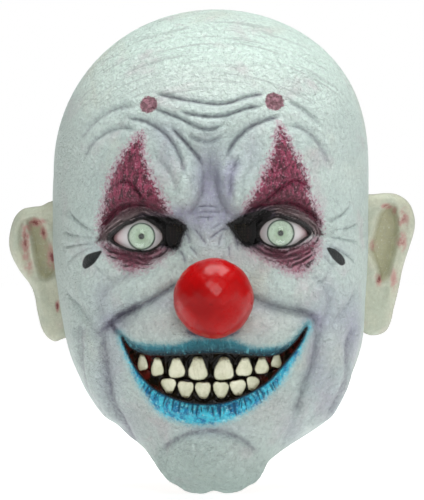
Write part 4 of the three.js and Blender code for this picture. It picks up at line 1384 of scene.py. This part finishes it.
def build_nose(looks):
    """A slightly uneven ball, cut flat at the back where it is glued to the face."""
    low, high = box_mm("nose_ball")
    x, z = (low[0] + high[0]) / 2, (low[2] + high[2]) / 2
    radius = (high[2] - low[2]) / 2
    y = low[1] + radius
    turn = np.linspace(0.001, math.acos(NOSE_CUT), 120)
    rows = [(radius * math.sin(t), radius * math.cos(t)) for t in turn]
    rows += [(r, NOSE_CUT * radius) for r in np.linspace(rows[-1][0] - 0.4, 0.05, 8)]
    piece = turned("ball_nose", rows[::-1], (x, y, z), 200, [looks["nose"]], sharp=60)
    co = np.zeros(len(piece.data.vertices) * 3)
    piece.data.vertices.foreach_get("co", co)
    co = co.reshape(-1, 3)
    off = co / MM - np.array([x, y, z])
    lumps = 0.22 * np.sin(off[:, 0] * 0.31 + 1) * np.sin(off[:, 2] * 0.27 + 2)
    lumps = lumps + 0.1 * np.sin(off[:, 0] * 0.8) * np.cos(off[:, 2] * 0.7)
    co += off / radius * lumps[:, None] * MM
    piece.data.vertices.foreach_set("co", co.ravel())
    piece.data.update()
    settle(piece, "nose_red", "nose_ball")


BITE_Z, BITE_RISE, BITE_GAP = 18.3, 0.0045, 0.02
GUM_DEPTH, GUM_THICK = 7.2, 3.6
TOOTH_PROUD, TOOTH_CROWN, TOOTH_BACK, TOOTH_SQUARE = 3.4, 2.3, 2.9, 3.8
UPPER_GUM_TOP = [(-59, 54), (-30, 41), (0, 41), (30, 41), (61, 57)]
LOWER_GUM_BOTTOM = [(-53, 31), (-47, 21), (-38, 10.5), (-20, 2), (0, -1), (20, 2), (36, 9),
    (46, 20), (52, 31)]
# Each tooth: x and z of its middle, width, height and a slight turn in degrees.
UPPER_TEETH = [
    (-42.3, 29.4, 6.9, 10.4, 8), (-33.1, 26.8, 8.4, 12.0, 4), (-21.1, 26.1, 10.6, 13.2, 5),
    (-8.1, 26.0, 13.0, 14.6, 0),
    (7.9, 25.8, 13.4, 14.4, 1), (20.6, 26.8, 10.6, 12.2, -4), (31.3, 27.6, 9.2, 11.0, 2),
    (40.3, 30.4, 6.9, 9.2, -8),
]
LOWER_TEETH = [
    (-26.0, 15.0, 9.8, 9.8, 4), (-15.6, 12.7, 10.6, 10.8, -3), (-4.9, 12.2, 10.4, 11.0, 2),
    (6.1, 12.4, 10.4, 11.0, 0),
    (16.6, 13.8, 10.6, 10.4, 6), (25.6, 16.3, 8.9, 9.0, -12),
]


def build_gum(name, node, edge_from, edge_to, outline, upper, looks):
    """A band behind the lips, with a swelling over each root and ridges between the teeth."""
    curve = catmull(outline, 12)
    x = np.linspace(edge_from, edge_to, 260)
    bite = BITE_Z + BITE_RISE * x**2 + (BITE_GAP if upper else -BITE_GAP)
    far = np.interp(x, curve[:, 0], curve[:, 1])
    t = np.linspace(0, 1, 40)[:, None]
    z = bite * (1 - t) + far * t
    xs = np.broadcast_to(x, z.shape)
    y = face_y(xs, z) + GUM_DEPTH
    teeth = UPPER_TEETH if upper else LOWER_TEETH
    for at, _, width, _, _ in teeth:
        y = y - 1.5 * bell(xs, at, 0.36 * width) * (0.35 + 0.65 * t)
        for edge in (at - width * 0.62, at + width * 0.62):
            y = y - 0.9 * bell(xs, edge, 0.7) * (1 - 0.4 * t)
    for at, middle, width, height, _ in teeth:
        off = np.hypot((xs - at) / (width / 2), (z - middle) / (height / 2))
        y = y - 0.9 * bell(off, 1.2, 0.1)
    y = y + 0.35 * lattice_noise(xs, z, 2.2, 31)
    y = y + 1.6 * bell(np.minimum(t, 1 - t), 0, 0.03)
    front = np.stack([xs, y, z], -1).reshape(-1, 3)
    back = np.stack([xs, face_y(xs, z) + GUM_DEPTH + GUM_THICK, z], -1).reshape(-1, 3)
    n = len(front)
    tri = as_triangles(sheet_faces(*z.shape))
    if not upper:
        tri = tri[:, ::-1]
    rim = boundary_edges(tri)
    a, b = rim[:, 0], rim[:, 1]
    edge = np.vstack([np.column_stack([b, a, a + n]), np.column_stack([b, a + n, b + n])])
    faces = np.vstack([tri, tri[:, ::-1] + n, edge])
    red = {"red": np.tile(smoothstep(26, 40, np.abs(xs)).ravel() * 0.9, 2)}
    points = np.vstack([front, back])
    piece = make_piece(name, points, faces, [looks["gum"]], attributes=red, sharp=60)
    settle(piece, "gum", node)


def build_tooth(name, node, x, z, width, height, turn, upper, looks):
    """A crowned wedge, wide at its biting edge and narrow at the gum."""
    rings, around = 16, 48
    angle = np.linspace(0, 2 * math.pi, around, endpoint=False)
    ca, sa = np.cos(angle), np.sin(angle)
    corner = (np.abs(ca) ** TOOTH_SQUARE + np.abs(sa) ** TOOTH_SQUARE) ** (-1 / TOOTH_SQUARE)
    a, b = ca * corner, sa * corner
    to_gum = b if upper else -b
    waist = 1 - 0.46 * smoothstep(-0.6, 1.0, to_gum) ** 1.3
    rng = np.random.default_rng(int(abs(x) * 10) + (100 if upper else 300))
    wobble = 1 + 0.035 * np.sin(2 * angle + rng.uniform(0, 6))
    wobble = wobble + 0.02 * np.sin(5 * angle + rng.uniform(0, 6))
    a, b = a * waist * wobble * width / 2, b * wobble * height / 2
    share = np.concatenate([np.linspace(0, 0.8, rings - 6, endpoint=False), np.linspace(0.8, 1, 6)])
    rise = (1 - share**3.6) ** (1 / 2.4)
    tilt = math.radians(turn)
    slope_x = (face_y(x + width / 2, z) - face_y(x - width / 2, z)) / width
    slope_z = (face_y(x, z + height / 2) - face_y(x, z - height / 2)) / height
    front = face_y(x, z) + GUM_DEPTH - TOOTH_PROUD
    rows, stain_and_shade = [], []
    for s, r in zip(share, rise):
        u, w = a * s, b * s
        u, w = (
            u * math.cos(tilt) - w * math.sin(tilt),
            u * math.sin(tilt) + w * math.cos(tilt),
        )
        y = front + TOOTH_CROWN * (1 - r) + u * slope_x + w * slope_z
        rows.append(np.column_stack([x + u, y, z + w]))
        gum_end = np.clip((b if upper else -b) * s / (height / 2), 0, 1)
        # Darker round the outline as painted shade, and towards the gum as stain.
        stain_and_shade.append(np.maximum(smoothstep(0.78, 1.02, s), smoothstep(0.3, 1.0, gum_end) * 0.75))
    base = rows[-1] + np.array([0, TOOTH_BACK, 0])
    rows += [base, np.tile(base.mean(0), (around, 1))]
    stain_and_shade += [np.ones(around)] * 2
    faces = sheet_faces(len(rows), around, wrap=True)
    stain_and_shade = {"stain_and_shade": np.concatenate(stain_and_shade)}
    piece = welded_piece(name, np.vstack(rows), faces, [looks["enamel"]], stain_and_shade, 50)
    settle(piece, "enamel", node)


# The ears seen from the front, as x and z, for the mask's right and left: the outline from the
# upper root round to the lobe, the outline of the bowl, the groove behind the rolled rim, and the
# flushed spots with their half-width, half-height and strength.
EARS = {
    -1: {
        "outline": [(-90, 128), (-98, 130.5), (-104, 129.3), (-109, 127), (-115, 126.3),
            (-121.3, 124.8), (-126.3, 120), (-129.3, 112), (-130.3, 103), (-128.6, 95),
            (-123.4, 85.5), (-116.5, 76.5), (-113.3, 68.5), (-111.6, 59), (-108.5, 47.8),
            (-103.3, 41.3), (-97, 40.8), (-88, 50), (-84, 90)],
        "bowl": [(-118.0, 117.4), (-112.8, 119.4), (-107.8, 115.4), (-104.6, 108.9),
            (-101.4, 100.4), (-98.3, 96.5), (-97.8, 90.0), (-100.0, 82.2), (-105.7, 78.6),
            (-110.2, 80.9), (-112.8, 87.4), (-114.8, 96.5), (-116.1, 105.6), (-118.4, 112.2)],
        "groove": [(-117.5, 119.4), (-120.6, 115.5), (-121.3, 110), (-120.3, 104.3),
            (-119.4, 97.8), (-118.0, 91.3), (-114.6, 83.4), (-110.2, 77.3)],
        "notch": (-98.0, 62.6, 1.4, 4.0, 1.6),
        "spots": [(-112.4, 116.4, 5.5, 2.6, 1.15), (-107.4, 109.5, 2.6, 4.5, 0.95),
            (-101.6, 94.0, 3.4, 6.5, 1.15), (-98.3, 62.4, 1.2, 3.6, 1.1),
            (-119.0, 104, 3.4, 13, 0.85), (-117.0, 88, 3.0, 6, 0.55), (-103.5, 101, 4, 4, 0.45)],
        "middle": (-106, 92),
    },
    1: {
        "outline": [(90, 132), (96, 134), (104, 134.4), (113, 135.2), (120.5, 134), (127.5, 129),
            (131.1, 120.5), (131.2, 111.5), (127.5, 99.5), (123.3, 86.2), (120.6, 73), (117.3, 60),
            (115.8, 53.2), (112.3, 46.5), (105.6, 43.9), (98, 45.5), (88, 55), (84, 90)],
        "bowl": [(106.5, 120.3), (109.5, 124.8), (114.1, 127.6), (118.6, 125.8), (120.3, 120.6),
            (121.2, 115.1), (121.3, 109.2), (120.2, 102.7), (118.4, 94.9), (116.4, 88.4),
            (114.4, 81.3), (110.4, 77.4), (107.0, 78.5), (106.0, 85.8), (104.0, 91.0),
            (101.2, 97.5), (101.6, 102.7), (104.0, 110.5)],
        "groove": [(120.5, 127.6), (124.3, 123.5), (125.0, 117), (124.6, 110.5), (123.6, 103.7),
            (121.4, 97.5), (119.4, 91), (118.2, 84.5), (116.9, 76), (115.6, 70)],
        "notch": (107.0, 78.6, 2.2, 4.0, 2.0),
        "spots": [(123.6, 119.0, 3.8, 7.5, 0.72), (122.6, 104.3, 3.4, 6.5, 0.8),
            (117.4, 79.6, 2.8, 8, 0.62), (107.2, 79.4, 2.2, 3.8, 1.1), (104.2, 101.4, 3.0, 4, 0.6),
            (112.6, 126.6, 4.0, 1.8, 0.85), (118, 124, 2, 3, 0.5)],
        "middle": (110, 92),
    },
}
EAR_SWEEP, EAR_HINGE, EAR_Y, EAR_THICK = 0.6, 100.0, 5.0, 4.6


def ear_relief(shape, x, z, depth):
    """How far the front of an ear stands out: a rolled rim, a groove, a ridge and a deep bowl."""
    rounded = np.sqrt(np.clip(1 - (1 - np.clip(depth / EAR_THICK, 0, 1)) ** 2, 0, 1)) * EAR_THICK
    lobe = smoothstep(72, 56, z)
    rim = 1.5 * bell(depth, 4.0, 2.6) * (1 - lobe)
    front = rounded + rim - 1.6 * smoothstep(5.5, 9.5, depth) * (1 - lobe)
    bowl = region(x, z, shape["bowl"])
    gap, along = path_field(x, z, catmull(shape["groove"], 6))
    fade = smoothstep(0, 0.12, along) * smoothstep(0, 0.2, 1 - along)
    front -= 2.0 * fade * bell(np.abs(gap), 0, 2.7)
    front += 0.9 * bell(bowl, -2.0, 2.4)
    ripple = 0.5 * smoothstep(0, 4, bowl) * np.sin(z * 0.55 + x * 0.2)
    front -= 6.5 * smoothstep(-1.2, 4.4, bowl) + ripple
    *notch, deep = shape["notch"]
    front -= deep * blob(x, z, *notch)
    front += 0.9 * lobe * bell(depth, 9, 6)
    front += 0.25 * lattice_noise(x, z, 6, 21) * smoothstep(1, 4, depth)
    return rounded, np.where(depth < 0.01, 0, np.maximum(front, -3.2)), bowl


def build_ear(name, node, side, looks):
    """A curled blade: a rolled rim, the hollows in its front and a plain rounded back."""
    shape = EARS[side]
    outline = catmull(shape["outline"], 14, closed=True)
    if side < 0:
        outline = outline[::-1]
    middle = np.array(shape["middle"], float)
    share = np.concatenate([np.linspace(0, 0.7, 56, endpoint=False), np.linspace(0.7, 1, 44)])
    grid = middle + (outline - middle)[None, :, :] * share[:, None, None]
    x, z = grid[..., 0].ravel(), grid[..., 1].ravel()
    closed = np.vstack([outline, outline[:1]])
    depth = np.abs(path_field(x, z, closed)[0])
    rounded, front, bowl = ear_relief(shape, x, z, depth)
    redness = np.zeros(len(x))
    for *spot, red in shape["spots"]:
        redness = np.maximum(redness, red * blob(x, z, *spot))
    shade = smoothstep(-0.5, 3.5, bowl)
    swept = EAR_Y + EAR_SWEEP * (np.abs(x) - EAR_HINGE)
    top = np.column_stack([x, swept - front, z])
    below = np.where(depth < 0.01, 0, np.maximum(rounded * 0.9, 2.0 - front))
    under = np.column_stack([x, swept + below, z])
    rows, columns = len(share), len(outline)
    tri = as_triangles(sheet_faces(rows, columns, wrap=True))
    points = np.vstack([top, under])
    first, joined = weld(points)
    faces = joined[np.vstack([tri, tri[:, ::-1] + len(top)])]
    plain = np.zeros(len(x))  # the back of the ear has no flush and no shade
    attributes = {
        "hollow": np.concatenate([redness, plain])[first],
        "bowl": np.concatenate([shade, plain])[first],
        "edge": np.concatenate([depth, depth])[first],
    }
    faces = faces[is_whole(faces)]
    piece = make_piece(name, points[first], faces, [looks["ear"]], attributes=attributes)
    settle(piece, "ear_latex", node)


# ---------------------------------------------------------------- the mask
LOOKS = {
    "latex": painted_latex, "raw": raw_latex, "ear": ear_latex, "nose": nose_red, "sclera": sclera,
    "iris": iris_green, "lens": clear_lens, "net": mesh_black, "gum": gum_varnish, "enamel": enamel,
}


def build_mask():
    """Every material, then every piece."""
    looks = {name: make() for name, make in LOOKS.items()}
    points, faces, *details = skin_mesh()
    skin = make_piece("painted_skin", points, faces, [looks["latex"], looks["raw"]], *details, 50)
    settle(skin, "latex", "latex_skin")
    for side_name, side in (("left", 1), ("right", -1)):
        build_ear(f"{side_name}_ear_blade", f"{side_name}_ear", side, looks)
        build_eye(side_name, side, looks)
        build_vision_mesh(side_name, looks)
    build_nose(looks)
    build_gum("upper_gum_ridge", "upper_gum", -59, 61, UPPER_GUM_TOP, True, looks)
    build_gum("lower_gum_ridge", "lower_gum", -51.5, 50.5, LOWER_GUM_BOTTOM, False, looks)
    for row, teeth, upper in (("upper", UPPER_TEETH, True), ("lower", LOWER_TEETH, False)):
        for i, tooth in enumerate(teeth):
            build_tooth(f"{row}_tooth_{i + 1}_enamel", f"{row}_tooth_{i + 1}", *tooth, upper, looks)


def build_stage():
    """A wide round floor, under a world that is white along the horizon."""
    radius = np.concatenate([np.linspace(0.01, 3000, 24), np.linspace(4000, 14000, 8)])
    turn = np.linspace(0, 2 * math.pi, 64, endpoint=False)
    points = np.array([(r * math.cos(t), r * math.sin(t), FLOOR_Z) for r in radius for t in turn])
    quads = sheet_faces(len(radius), len(turn), wrap=True)
    make_piece("pale_floor", points, quads, [stage_white()])


def add_light(name, place, aim, size, power):
    """A square softbox, turned towards aim."""
    data = bpy.data.lights.new(name, "AREA")
    data.shape = "SQUARE"
    data.size = size
    data.energy = power
    light = bpy.data.objects.new(name, data)
    light.location = place
    light.rotation_euler = (Vector(aim) - Vector(place)).to_track_quat("-Z", "Y").to_euler()
    bpy.context.scene.collection.objects.link(light)


def build_world():
    """Dim overhead and white along the horizon."""
    world = bpy.data.worlds.new("studio")
    world.use_nodes = True
    tree = world.node_tree
    background = tree.nodes["Background"]
    background.inputs["Color"].default_value = (1.0, 1.0, 1.0, 1.0)
    direction = tree.nodes.new("ShaderNodeSeparateXYZ")
    tree.links.new(tree.nodes.new("ShaderNodeTexCoord").outputs["Generated"], direction.inputs[0])
    band = tree.nodes.new("ShaderNodeMapRange")
    band.interpolation_type = "SMOOTHSTEP"
    limits = (*WHITE_BAND, 1.0, WORLD_STRENGTH)
    for key, number in zip(("From Min", "From Max", "To Min", "To Max"), limits):
        band.inputs[key].default_value = number
    tree.links.new(direction.outputs["Z"], band.inputs["Value"])
    tree.links.new(band.outputs["Result"], background.inputs["Strength"])
    bpy.context.scene.world = world


def build_lights():
    """A softbox in front, a large one overhead and a weak, wide one on the mask's left."""
    build_world()
    for light in LIGHTS:
        add_light(*light)
    bpy.context.scene.view_settings.view_transform = "Standard"


def build_camera():
    """Square to the face, as the photograph was taken."""
    data = bpy.data.cameras.new("camera")
    data.sensor_width = SENSOR_MM
    data.lens = LENS_MM
    camera = bpy.data.objects.new("camera", data)
    camera.location = (CAMERA_X * MM, (FACE_Y - CAMERA_DISTANCE) * MM, CAMERA_Z * MM)
    camera.rotation_euler = (math.pi / 2, 0, 0)
    bpy.context.scene.collection.objects.link(camera)
    bpy.context.scene.camera = camera


build_camera()
build_lights()
build_mask()
build_stage()
